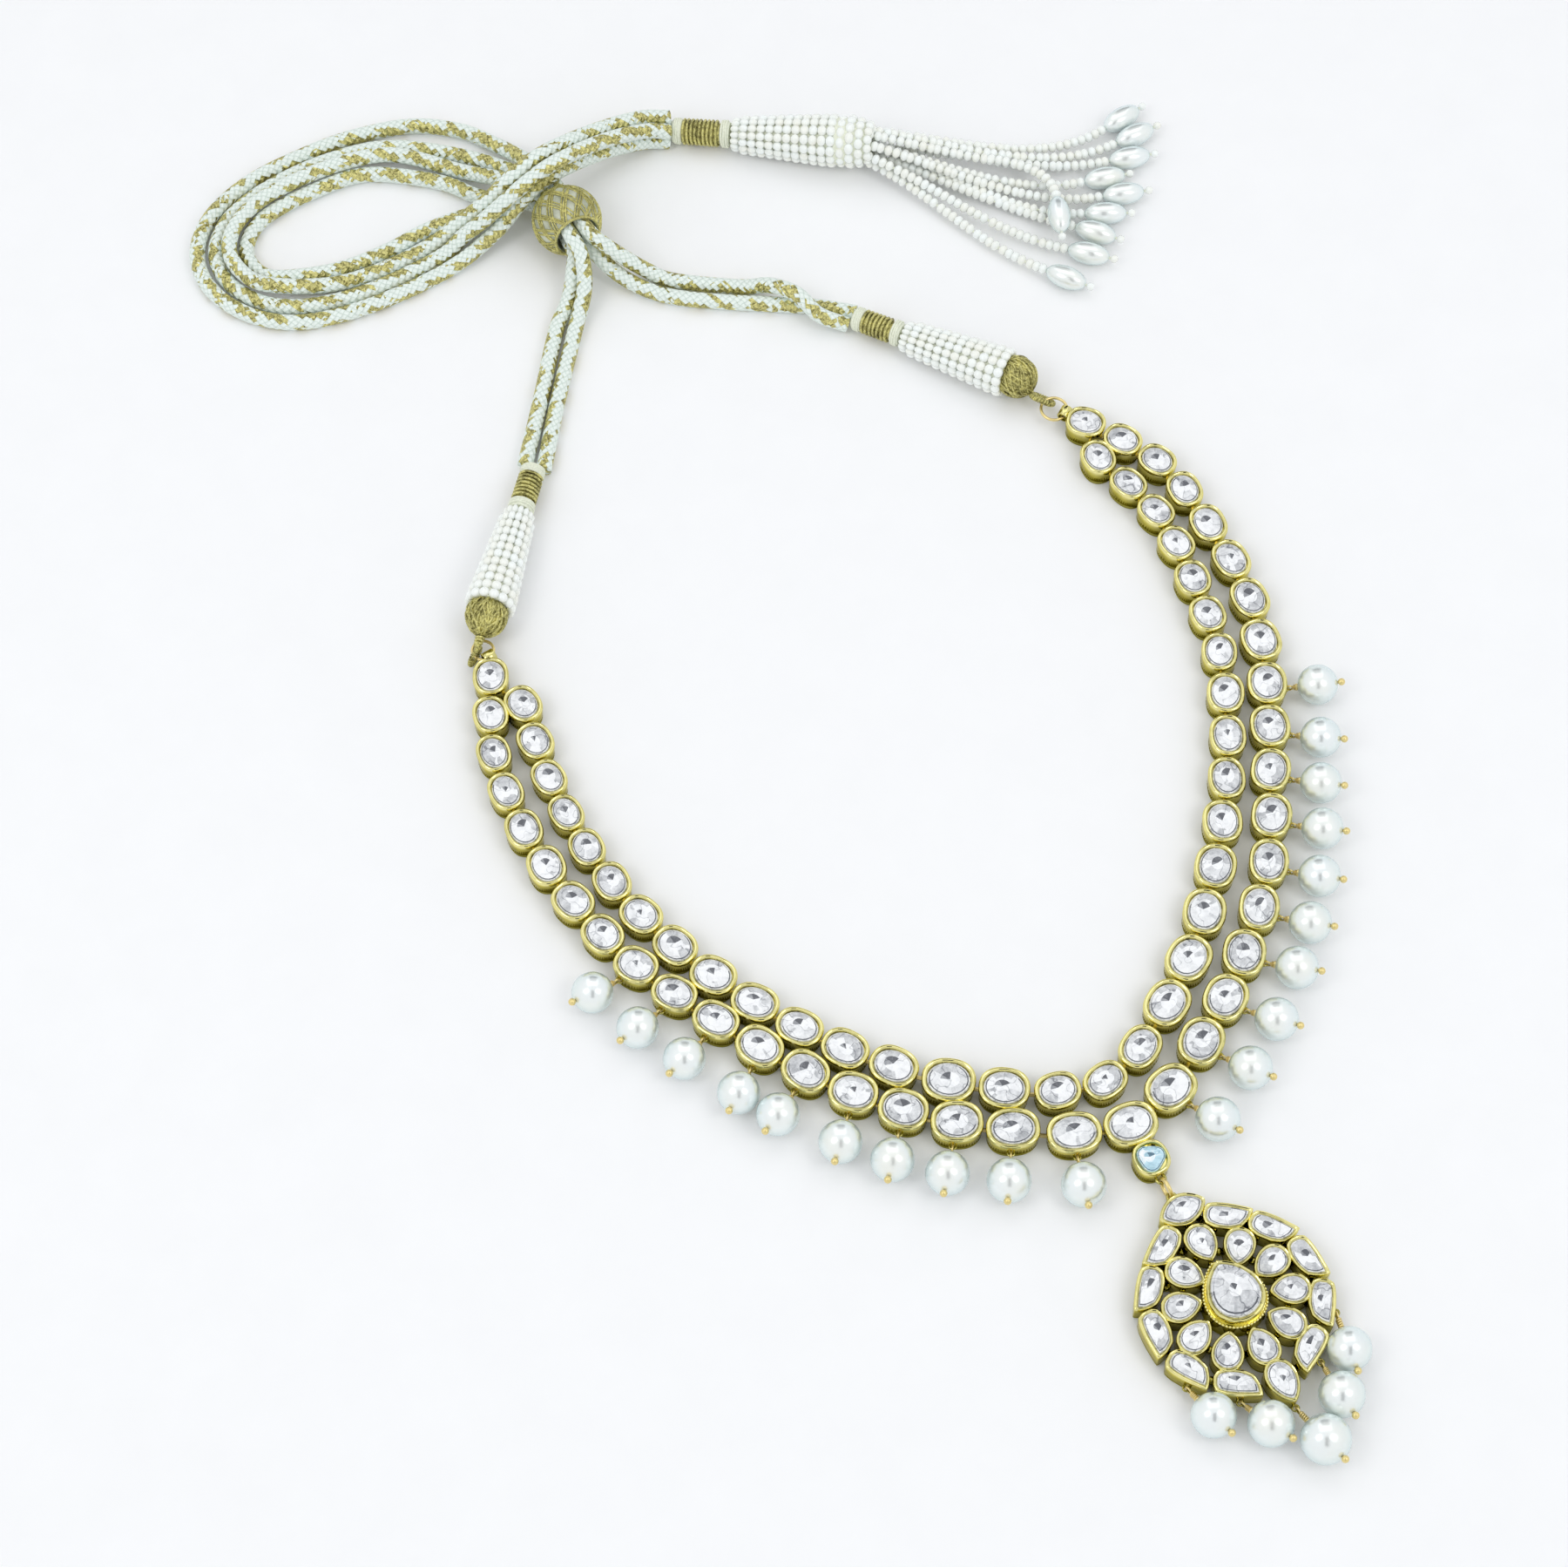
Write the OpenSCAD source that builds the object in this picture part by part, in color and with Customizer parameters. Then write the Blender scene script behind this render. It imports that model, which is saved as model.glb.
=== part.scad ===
// A kundan necklace that lies face up on a flat surface, with its pendant towards -Y.
// Two rows of gold collets hold uncut stones. Pearls hang from the outer row, a pierced
// pendant from the middle, and two pairs of braided cords run from beaded sleeves through
// a slide bead and a loop to a beaded tassel.

/* [Collets] */
// Height of a collet from its base to the top of its rim
collet_h = 4; // [3.6:0.1:4.4]
// Width of a collet across its row, as a share of its length
collet_ratio = 0.79; // [0.76:0.01:0.8]
// Share of a collet's half width that its gold rim takes
rim_share = 0.17; // [0.14:0.01:0.2]
// Gap between neighbouring collets of a row
collet_gap = 0.3; // [0.2:0.05:0.5]
// Diameter of the wire that strings a row of collets
row_wire_d = 0.7; // [0.5:0.05:0.8]

/* [Stones] */
// Clearance between a stone and its collet
stone_gap = 0.1; // [0.1:0.02:0.16]
// Height of a stone from its flat back to its table
stone_h = 1.1; // [0.9:0.05:1.3]

/* [Pearls] */
// Diameter of the pearls near the middle of the strip
pearl_d_max = 7; // [6.6:0.1:7]
// Diameter of the pearls furthest up the strip
pearl_d_min = 6.6; // [6.2:0.1:6.6]
// Bare distance from a collet's wall to its pearl
pearl_drop = 2; // [2:0.1:2.2]
// Diameter of the gold wire that holds a pearl
pin_wire_d = 0.34; // [0.3:0.02:0.36]

/* [Pendant] */
// Height of the pendant's border and petals
pendant_h = 4; // [3.6:0.1:4.4]
// Height of the raised setting in the middle of the pendant
centre_h = 6; // [5.5:0.1:6.5]

/* [Cords and beadwork] */
// Diameter of a braided cord
cord_d = 2.7; // [2.4:0.1:2.7]
// Diameter of the slide bead
slide_bead_d = 12.2; // [12:0.1:12.4]
// Diameter of a string of seed beads in the tassel
string_d = 1.45; // [1.3:0.05:1.5]
// Length of a rice pearl
rice_l = 7.4; // [6.8:0.1:7.4]
// Diameter of a rice pearl
rice_d = 3.9; // [3.6:0.1:3.9]

/* [Hidden] */
$fn = 32;
// Middle of the piece's box, cords left out, measured from the middle collet of the outer row
box_middle = [14.8, 70.3];
gold = "goldenrod";
pearl_white = "ivory";
glass = "lightsteelblue";
thread_gold = "darkgoldenrod";
bead_white = "whitesmoke";

// Middle line of the outer row, from its left end to its right end; a row for every second collet: x, y
outer_line = [
    [-54.5, 115.5], [-60, 102.5], [-61.5, 88], [-60, 73], [-56, 58.5], [-49, 44.5], [-40.5, 30.5],
    [-30, 18], [-16.5, 7.5], [0, 0], [16.5, 7], [30, 17], [41.5, 29], [50, 43], [57.5, 57],
    [63, 72], [64, 87.5], [62.5, 102], [55.5, 114]];
// Middle line of the inner row, in the same order: x, y
inner_line = [
    [-52, 108.5], [-54, 94.5], [-54, 80.5], [-51.5, 66], [-46, 51.5], [-38, 37.5], [-28, 25],
    [-14.5, 14], [0, 8], [15, 15], [28, 26], [38.5, 38.5], [47, 51.5], [53.5, 65.5], [56.5, 79.5],
    [57.5, 93.5], [54, 107]];
// How a collet differs from the next, used in turn: turn in degrees, share of the usual width
collet_cuts = [[6, 1], [-5, 0.97], [9, 0.94], [0, 1], [-9, 0.98], [4, 0.93], [11, 0.99]];
// How a stone's table sits, used in turn: shift along, shift across, size
stone_cuts = [[0.1, 0.12, 0.36], [-0.14, 0.1, 0.3], [0.05, 0.2, 0.33], [0.16, 0.02, 0.28], [-0.06, 0.16, 0.38]];

// Pearls of the strip, from the middle out: swing in degrees from straight out, on the left and on the right
pearl_swing = [
    [5, 3], [0, 0], [0, 1], [5, 4], [9, -2], [-3, -8], [9, -12], [-3, -14], [-8, -13], [-14, -4]];

// Pendant border, right half, top to bottom: x, y, heading of the long side
border_right = [
    [5.4, -19.9, -36], [10.5, -24.6, -53], [12.8, -31, -88], [11.4, -38, -124], [6.2, -43.2, -150]];
border_half_l = 3.4;
border_half_w = 1.95;
top_leaf_at = [0, -15.9];
bottom_drop_at = [0, -46.2];
// Outline of a border unit: along and outward, as shares of its half length and half width
border_outline = [
    [-1, -0.3], [-0.85, -0.75], [-0.4, -1], [0.2, -0.95], [0.7, -0.6], [1, 0.2], [1.08, 0.95],
    [0.5, 1.05], [0, 1.08], [-0.5, 1.02], [-0.85, 0.85], [-1, 0.4]];
// Petals of the pendant, right half and then the two on the axis: x, y
petal_right = [[4.7, -25], [7.75, -29.3], [8.2, -34.3], [5.1, -38.5]];
petal_axis = [[0, -21.9], [0, -40.1]];
petal_half = [3, 2.4];
centre_at = [0, -31];
centre_half = [5.2, 4.9];

// Drops of the pendant: x and y of its ring, x and y of the pearl, pearl diameter
pendant_drops = [
    [12.95, -40.1, 11.4, -46.3, 6.8], [6.95, -45.8, 6.7, -51.9, 7.1], [0, -50.2, 1, -56.8, 7.7],
    [-6.95, -45.7, -4.9, -51, 7.1], [-12.95, -40.1, -11.8, -46, 6.9]];

// Where each cord wrap begins: x, y, heading of the sleeve beyond it
end_left = [-31, 148.7, 230];
end_right = [30.8, 151, 307];
tassel_at = [20.5, 200.3, -35];
// Joint between an end collet and its thread ball, left and right: heading of the bail from the collet,
// heading of the link ring from the bail, link radius, thread ring's x, y, heading, radius, thread, roll
joints = [
    [69, 104, 1.75, -54.95, 120.75, 215, 1.6, 0.45, 85],
    [115, 128, 2.2, 51.6, 122, 124, 1.9, 0.55, 50]];

// Strings of the tassel: where the string starts across the head and above its axis,
// then x, y, z and heading of its rice pearl
strings = [
    [2.6, 0.6, 92.3, 167, 2, 8], [1.5, 2.2, 92.6, 162.8, 2, 0], [0.2, 2.7, 89.4, 159, 2, -16],
    [-0.6, 0.9, 83.4, 157.2, 2, -15], [-1.5, 2.2, 84.7, 152.8, 2, -18], [0.9, -0.6, 79.9, 150.6, 2, -26],
    [-0.9, -0.9, 76.4, 147.9, 2, -46], [-2.6, 0.6, 73.2, 144.6, 2, -42], [1.9, -1.9, 71.4, 152.3, 4.9, -112],
    [-2.2, -1.6, 67.3, 142, 2, -52]];

// Routes of the four cords, each from its wrap through the slide bead and round the loop
// to the tassel: x, y and height of the cord's middle
route_left_1 = [
    [-31.9, 150.4, 1.6], [-24, 161, 1.35], [-15.6, 172.5, 1.35], [-11.2, 176.6, 2.25],
    [-8.2, 180.6, 4.55], [-6.8, 184, 5.6], [-6.8, 194.4, 3.3], [-9.6, 198.8, 2.4], [-15.5, 203.5, 1.6],
    [-20.5, 209.8, 1.35], [-31, 217, 1.35], [-40.5, 218, 1.35], [-49, 217.2, 1.35], [-53.8, 215, 1.35],
    [-56.6, 211, 1.35], [-56, 206.5, 1.35], [-52.9, 203.8, 1.35], [-44, 201, 1.35], [-35, 200.6, 1.35],
    [-27.5, 201.4, 1.35], [-21.4, 201.2, 1.55], [-16.3, 199.3, 3.65], [-10.3, 198.5, 7.9],
    [-4.5, 199.8, 9], [5.4, 202.2, 5.9], [15, 203.3, 2.7], [20.9, 201.8, 1.4]];
route_left_2 = [
    [-29.6, 148, 1.6], [-21.5, 159.5, 1.35], [-12.9, 170.8, 1.45], [-8.4, 176, 4.4],
    [-6.8, 179.9, 7.55], [-6.7, 184, 8.65], [-6.6, 194.5, 6.25], [-8.3, 199, 5.25], [-11.2, 203.7, 3.9],
    [-16.2, 210, 1.6], [-24.5, 217.1, 2.75], [-31.5, 219.6, 3.1], [-40.8, 220.3, 3.15],
    [-49.8, 219.3, 3.2], [-55.9, 216.5, 3.15], [-59.2, 212, 3.25], [-59.1, 206.9, 3.3],
    [-56.1, 202.5, 3.1], [-46.5, 198.4, 1.95], [-37, 197.5, 1.35], [-27, 198.4, 1.35],
    [-21.6, 198.8, 3.7], [-16.6, 198.4, 6.85], [-10.7, 198.5, 11.2], [-4.5, 199.8, 12],
    [5.5, 202.2, 8.9], [15.1, 203.3, 5.7], [20.6, 202, 4.2]];
route_right_1 = [
    [29.3, 150.7, 1.6], [25.4, 153.9, 3.25], [23.5, 158.5, 4.65], [20.6, 163.1, 3.2], [16.5, 166.2, 1.35],
    [7, 172.5, 1.35], [3.3, 176, 2.55], [-1.3, 180, 6.7], [-3.7, 183.9, 8.85], [-3.8, 194.5, 6.55],
    [-4.4, 200.6, 5.4], [-5.9, 206.6, 3.3], [-8.5, 212.5, 1.6], [-12.5, 218, 1.35], [-20, 223, 1.35],
    [-30.5, 225.5, 1.35], [-40, 225.8, 1.35], [-49.6, 224.9, 1.35], [-58.1, 221.7, 1.35],
    [-63.4, 216.5, 1.35], [-65.2, 210, 1.35], [-63.6, 203.3, 1.35], [-59.1, 197.3, 1.35],
    [-52, 193.3, 1.35], [-40, 191.6, 1.35], [-26.4, 192.4, 1.35], [-16.9, 194.1, 3.7],
    [-9.8, 195.6, 8.35], [-3.6, 197, 9.25], [6.5, 199.5, 5.85], [14.9, 200.3, 2.7], [19.1, 199.3, 1.4]];
route_right_2 = [
    [31.8, 152.2, 1.6], [27.1, 156.1, 1.35], [21.5, 159.5, 1.35], [9, 167, 1.35], [3, 171.8, 1.35],
    [-0.9, 176.7, 2.3], [-3.4, 181.1, 4.75], [-3.9, 184, 5.6], [-3.8, 194.5, 3.6], [-5.5, 199.5, 2.55],
    [-8.1, 205.4, 1.9], [-12.5, 211, 1.35], [-18.5, 216.2, 1.35], [-24.4, 220.1, 1.35],
    [-31, 222.2, 1.35], [-40.5, 222.9, 1.35], [-50, 221.7, 1.35], [-57, 218.8, 1.35],
    [-61.1, 214, 1.35], [-61.9, 208.5, 1.35], [-60.2, 203.5, 1.35], [-56.4, 199.1, 1.35],
    [-50, 196, 1.35], [-40, 194.5, 1.35], [-27, 195.3, 1.4], [-22.1, 195.9, 3.7], [-17.1, 195.6, 6.9],
    [-10.3, 195.6, 11.45], [-3.4, 197, 12.2], [6.6, 199.5, 8.95], [15, 200.3, 5.75], [19.3, 199.2, 4.2]];

pearl_names = concat(
    [for (i = [1:10]) str("pearl_left_", i)],
    [for (i = [1:10]) str("pearl_right_", i)],
    [for (i = [1:5]) str("pearl_pendant_", i)]);

outer_n = 2 * len(outer_line) - 1;
inner_n = 2 * len(inner_line) - 1;
middle = (outer_n - 1) / 2;
bore_z = 1.3;
collet_sides = 20;
seat_z = collet_h - stone_h;
ring_wire_r = pin_wire_d / 2;
ring_eye_r = 0.5;
pin_eye_r = 0.6;
ring_z = 1.7;
loop_z = 2;
connector_at = [0, -6.35];
connector_half = [2.8, 2.7];
bail_z = 2.2;
ball_r = 3.65;
ball_s = 30.4;
wrap_l = 9;
sleeve_s = [9.3, 28.9];
sleeve_r = [3, 4.35];
tassel_wrap_l = 10.3;
tassel_sleeve_s = [10.6, 29.3];
tassel_sleeve_r = [3.3, 4.75];
head_s = [29.5, 35.6];

// A point on the smooth curve through a table's rows, where t counts rows
function spline(t, tab) =
    let (
        last = len(tab) - 1,
        i = max(0, min(floor(t), last - 1)),
        u = t - i,
        p1 = tab[i],
        p2 = tab[i + 1],
        p0 = i == 0 ? 2 * p1 - p2 : tab[i - 1],
        p3 = i + 1 == last ? 2 * p2 - p1 : tab[i + 2])
    (2 * p1 + (p2 - p0) * u + (2 * p0 - 5 * p1 + 4 * p2 - p3) * u * u
        + (3 * p1 - p0 - 3 * p2 + p3) * u * u * u) / 2;
function heading(v) = atan2(v[1], v[0]);
function direction(a) = [cos(a), sin(a)];
function flat(p) = [p[0], p[1]];
function cross_of(a, b) = cross(a, b) / norm(cross(a, b));

outer_points = [for (i = [0:outer_n - 1]) spline(i / 2, outer_line)];
inner_points = [for (i = [0:inner_n - 1]) spline(i / 2, inner_line)];
// The inner row with the end collets that it shares with the outer row
inner_run = concat([outer_points[0]], inner_points, [outer_points[outer_n - 1]]);
outer_run = concat(
    [2 * outer_points[0] - outer_points[1]], outer_points,
    [2 * outer_points[outer_n - 1] - outer_points[outer_n - 2]]);

// Place and size of the collets of a run, whose first and last points only bound it:
// x, y, heading, half length, half width, headings to the collets before and after
function collets_of(run) = [
    for (i = [1:len(run) - 2])
        let (
            cut = collet_cuts[(3 * i) % len(collet_cuts)],
            before = norm(run[i] - run[i - 1]),
            after = norm(run[i + 1] - run[i]),
            half = (min(before, after) - collet_gap) / 2)
        [run[i][0], run[i][1], heading(run[i + 1] - run[i - 1]) + cut[0], half, half * collet_ratio * cut[1],
            heading(run[i - 1] - run[i]), heading(run[i + 1] - run[i])]];
outer_collet_list = collets_of(outer_run);
inner_collet_list = collets_of(inner_run);

// Pearl d of the strip, counted from the middle: its diameter
function strip_pearl_d(k) = pearl_d_max + (pearl_d_min - pearl_d_max) * (k - 1) / 9;
// Which way it lies from its collet, side -1 on the left and 1 on the right
function pearl_way(k, side) =
    let (i = middle + side * k)
    heading(outer_run[i + 2] - outer_run[i]) - 90 + pearl_swing[k - 1][side < 0 ? 0 : 1];
// Distance from the middle of a collet to its wall, in a given direction
function wall_at(c, way) =
    let (a = way - c[2])
    0.98 / sqrt(pow(cos(a) / c[3], 2) + pow(sin(a) / c[4], 2));
// Ring and pearl of a strip drop: ring x, ring y, pearl x, pearl y, pearl diameter
function strip_drop(k, side) =
    let (
        c = outer_collet_list[middle + side * k],
        way = pearl_way(k, side),
        wall = wall_at(c, way),
        d = strip_pearl_d(k),
        ring = [c[0], c[1]] + (wall + 0.3) * direction(way),
        pearl = [c[0], c[1]] + (wall + pearl_drop + d / 2) * direction(way))
    [ring[0], ring[1], pearl[0], pearl[1], d];

// A wire, cord or string as a tube through a list of points
module tube(points, d, sides) {
    last = len(points) - 1;
    ways = [for (i = [0:last]) points[min(i + 1, last)] - points[max(i - 1, 0)]];
    rings = [
        for (i = [0:last])
            let (side = cross_of(ways[i], [0, 0, 1]), up = cross_of(side, ways[i]))
            for (j = [0:sides - 1])
                let (a = 360 * (j + 0.5) / sides)
                points[i] + d / 2 * (cos(a) * side + sin(a) * up)];
    walls = [
        for (i = [0:last - 1], j = [0:sides - 1])
            let (a = i * sides + j, b = i * sides + (j + 1) % sides)
            each [[a, b, b + sides], [a, b + sides, a + sides]]];
    caps = [[for (j = [sides - 1:-1:0]) j], [for (j = [0:sides - 1]) last * sides + j]];
    polyhedron(rings, concat(walls, caps), convexity = 10);
}

// An open ring of round wire, flat in the XY plane
module wire_ring(r, wire_r) {
    rotate_extrude($fn = 40) translate([r, 0]) circle(wire_r, $fn = 24);
}

function oval(a, b, n) = [for (j = [0:n - 1]) [a * cos(360 * j / n), b * sin(360 * j / n)]];

// A collet: foot, box and rim on one oval, with a seat sunk for its stone and a bore along its row
module collet(c, bore = true) {
    translate([c[0], c[1], 0]) rotate(c[2]) difference() {
        union() {
            linear_extrude(collet_h) polygon(oval(0.93 * c[3], 0.93 * c[4], collet_sides));
            translate([0, 0, 0.5]) linear_extrude(collet_h - 0.8) polygon(oval(0.98 * c[3], 0.98 * c[4], collet_sides));
        }
        translate([0, 0, seat_z]) linear_extrude(collet_h) polygon(oval((1 - rim_share) * c[3], (1 - rim_share) * c[4], collet_sides));
        if (bore)
            translate([0, 0, bore_z]) rotate(-c[2]) row_bore(c);
    }
}

// The bore of a collet: a square channel in two legs, each along its own side of the row
module row_bore(c) {
    bend = (c[6] - c[5] + 720) % 360 - 180;
    w = row_wire_d;
    to = [3 * c[3] * direction(c[5]), 3 * c[3] * direction(c[6])];
    across = [w * direction(c[5] + 90), w * direction(c[6] - 90)];
    corner = w / cos(bend / 2) * direction(c[5] + 90 + bend / 2);
    linear_extrude(2 * w, center = true)
        if (abs(bend) < 2)
            rotate(c[6] - bend / 2) square([6 * c[3], 2 * w], center = true);
        else
            polygon([to[0] + across[0], to[0] - across[0], -corner, to[1] - across[1], to[1] + across[1], corner]);
}

// An uncut stone: flat back, thin edge, a broken crown and a small table off its middle
module stone(a, b, h, cut) {
    sides = 10;
    edge = h * 0.3;
    base = [for (j = [0:sides - 1]) [a * cos(36 * j), b * sin(36 * j), 0]];
    girdle = [for (j = [0:sides - 1]) [a * cos(36 * j), b * sin(36 * j), edge]];
    crown = [
        for (j = [0:sides - 1])
            [0.76 * a * cos(36 * j + 18) + 0.3 * cut[0] * a, 0.76 * b * sin(36 * j + 18) + 0.3 * cut[1] * b, h * 0.74]];
    table = [
        for (j = [0:sides - 1])
            [cut[2] * a * cos(36 * j) + cut[0] * a, cut[2] * b * sin(36 * j) + cut[1] * b, h]];
    sides_of = function (low, j) let (k = (j + 1) % sides) [low + j, low + k, low + sides + k, low + sides + j];
    faces = concat(
        [[for (j = [0:sides - 1]) j], [for (j = [sides - 1:-1:0]) 3 * sides + j]],
        [for (j = [0:sides - 1]) let (q = sides_of(0, j)) each [[q[2], q[1], q[0]], [q[3], q[2], q[0]]]],
        [for (j = [0:sides - 1]) let (q = sides_of(sides, j)) each [[q[3], q[1], q[0]], [q[3], q[2], q[1]]]],
        [for (j = [0:sides - 1])
            let (q = sides_of(2 * sides, j)) each [[q[2], q[1], q[0]], [q[3], q[2], q[0]]]]);
    polyhedron(concat(base, girdle, crown, table), faces);
}

// The stone of a collet
module collet_stone(c, i) {
    share = 1 - rim_share;
    translate([c[0], c[1], seat_z + stone_gap]) rotate(c[2])
        stone(c[3] * share - stone_gap, c[4] * share - stone_gap, stone_h, stone_cuts[i % len(stone_cuts)]);
}

module end_collet(side) {
    i = side < 0 ? 0 : outer_n - 1;
    c = outer_collet_list[i];
    way = joints[side < 0 ? 0 : 1][0];
    turn = 0.2 * way + 0.8 * joints[side < 0 ? 0 : 1][1];
    outer_way = heading(outer_points[side < 0 ? 1 : outer_n - 2] - outer_points[i]);
    inner_way = heading(inner_points[side < 0 ? 0 : inner_n - 1] - outer_points[i]);
    color(gold) difference() {
        union() {
            collet(c, bore = false);
            bail_tube(c, way, turn);
        }
        for (a = [outer_way, inner_way])
            translate([c[0], c[1], bore_z]) rotate(a) translate([1.6, 0, 0]) rotate([0, 90, 0])
                cylinder(h = 3 * c[3], r = row_wire_d);
        bail_bore(c, way, turn);
    }
}

// The middle of a thread ball, beyond the wrap and the sleeve
function ball_at(joint) = [joint[0], joint[1]] + ball_s * direction(joint[2]);
bail_r = 1.1;
bail_reach = 1;
function bail_at(c, way) = [c[0], c[1]] + (wall_at(c, way) + bail_reach) * direction(way);
// A tube across the end of the row, which a link ring passes through
module bail_tube(c, way, turn) {
    p = bail_at(c, way);
    translate([p[0], p[1], bail_z]) rotate(turn) rotate([90, 0, 0]) cylinder(h = 2, r = bail_r, center = true);
}
module bail_bore(c, way, turn) {
    p = bail_at(c, way);
    translate([p[0], p[1], bail_z]) rotate(turn) rotate([90, 0, 0]) cylinder(h = 3, r = 0.8, center = true);
}

// The outer row's middle collet, with the small connector collet soldered below it
module centre_collets() {
    c = outer_collet_list[middle];
    color(gold) {
        union() {
            collet(c);
            collet([connector_at[0], connector_at[1], 0, connector_half[0], connector_half[1], 0], bore = false);
            translate([connector_at[0], connector_at[1] - connector_half[1] - 0.5, loop_z])
                wire_ring(0.7, 0.25);
            translate([0, connector_at[1] + connector_half[1], 0.8]) cylinder(h = 1.8, r = 0.7);
        }
    }
}

module outer_collets() {
    color(gold) for (i = [1:outer_n - 2])
        if (i != middle) {
            union() {
                collet(outer_collet_list[i]);
                k = abs(i - middle);
                if (k <= 10) {
                    d = strip_drop(k, i < middle ? -1 : 1);
                    translate([d[0], d[1], ring_z]) wire_ring(ring_eye_r, ring_wire_r);
                }
            }
        }
}

module inner_collets() {
    color(gold) for (c = inner_collet_list) collet(c);
}

// A wire from end collet to end collet through a row's bores
module row_wire(points) {
    last = len(points) - 1;
    first = points[0] + 2 * (points[1] - points[0]) / norm(points[1] - points[0]);
    end = points[last] + 2 * (points[last - 1] - points[last]) / norm(points[last - 1] - points[last]);
    run = concat([first], [for (i = [1:last - 1]) points[i]], [end]);
    color(gold) tube([for (p = run) [p[0], p[1], bore_z]], row_wire_d, 6);
}

module outer_stones() {
    color(glass) for (i = [0:outer_n - 1]) collet_stone(outer_collet_list[i], i);
}
module inner_stones() {
    color(glass) for (i = [0:inner_n - 1]) collet_stone(inner_collet_list[i], i + 2);
}
module connector_stone() {
    color("lightblue") collet_stone([connector_at[0], connector_at[1], 0, connector_half[0], connector_half[1], 0], 1);
}

// Eye, coil, stem and end ball of the pin that carries a pearl
module pearl_pin(drop) {
    r = drop[4] / 2;
    ring = [drop[0], drop[1], ring_z];
    pearl = [drop[2], drop[3], r];
    eye = ring + (pin_eye_r - 0.05) * (pearl - ring) / norm(pearl - ring);
    reach = norm(pearl - eye);
    turn_to(eye, pearl) {
        rotate([90, 0, 0]) wire_ring(pin_eye_r, ring_wire_r);
        translate([pin_eye_r, 0, 0]) rotate([0, 90, 0]) cylinder(h = reach + r, r = ring_wire_r);
        translate([reach - r - 0.5, 0, 0]) rotate([0, 90, 0]) cylinder(h = 0.4, r = 0.38);
        translate([reach + r + 0.62, 0, 0]) sphere(0.6);
    }
}
// Puts the X axis of what follows along the line from p to q, starting at p
module turn_to(p, q) {
    v = q - p;
    translate(p) rotate([0, -atan2(v[2], norm([v[0], v[1]])), heading(v)]) children();
}

// A pearl, drilled along its pin
module pearl(drop) {
    r = drop[4] / 2;
    ring = [drop[0], drop[1], ring_z];
    pearl = [drop[2], drop[3], r];
    color(pearl_white) turn_to(pearl, 2 * pearl - ring) drilled_ball(r, ring_wire_r + 0.13, 48);
}
// A ball with a bore along X
module drilled_ball(r, bore, sides) {
    rotate([0, 90, 0]) rotate_extrude($fn = sides) difference() {
        circle(r, $fn = 2 * sides);
        translate([-2 * r, -2 * r]) square([2 * r + bore, 4 * r]);
    }
}

module strip_pins() {
    color(gold) for (side = [-1, 1], k = [1:10]) pearl_pin(strip_drop(k, side));
}
module pendant_pins() {
    color(gold) for (d = pendant_drops) pearl_pin(d);
}

// A pear outline, round at one end and drawn in towards +X at the other
function pear(a, b, n) = [for (j = [0:n - 1]) let (t = 360 * j / n) [a * cos(t), b * sin(t) * pow(abs(sin(t / 2)), 0.45)]];
function leaf(a, b, n) = [for (j = [0:n - 1]) let (t = 360 * j / n) [a * cos(t), b * sin(t) * (0.55 + 0.45 * abs(sin(t)))]];

// A setting of the pendant: its outline extruded, with a window for the stone
module setting(outline, z, h, window) {
    difference() {
        translate([0, 0, z]) linear_extrude(h) polygon(outline);
        translate([0, 0, z + h - stone_h + 0.2]) linear_extrude(h) polygon(window);
    }
}
function shares(outline, a, b) = [for (p = outline) [p[0] * a, p[1] * b]];

module border_unit() {
    setting(
        shares(border_outline, border_half_l, border_half_w), 0, pendant_h,
        shares(border_outline, border_half_l - 0.75, border_half_w - 0.65));
}
module petal() {
    setting(pear(petal_half[0], petal_half[1], 20), 0.15, pendant_h,
        pear(petal_half[0] - 0.6, petal_half[1] - 0.55, 20));
}
module top_leaf() {
    setting(leaf(3.9, 2.6, 24), 0.1, pendant_h + 0.1, leaf(2.9, 1.9, 24));
}
module bottom_drop() {
    setting(pear(3.65, 2.9, 20), 0.2, pendant_h, pear(2.75, 2.2, 20));
}

// The solder that joins two neighbours of the pendant, between their middles
module solder(p, q, r) {
    translate([(p[0] + q[0]) / 2, (p[1] + q[1]) / 2, 0.5]) cylinder(h = 1.8, r = r, $fn = 20);
}

border_run = concat([top_leaf_at], border_right, [bottom_drop_at]);
petal_run = concat([petal_axis[0]], petal_right, [petal_axis[1]]);

module half_pendant() {
    for (u = border_right) translate([u[0], u[1], 0]) rotate(u[2]) border_unit();
    for (p = petal_right) {
        v = centre_at - p;
        translate([p[0], p[1], 0]) rotate(heading(v)) petal();
        solder(p + 0.1 * v, p + 0.75 * v, 0.9);
    }
    for (i = [0:len(border_run) - 2]) solder(border_run[i], border_run[i + 1], 0.9);
    for (i = [0:len(petal_run) - 2]) solder(petal_run[i], petal_run[i + 1], 0.8);
    for (i = [0:4]) solder(petal_run[i], border_run[i + 1], 0.8);
}

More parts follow.
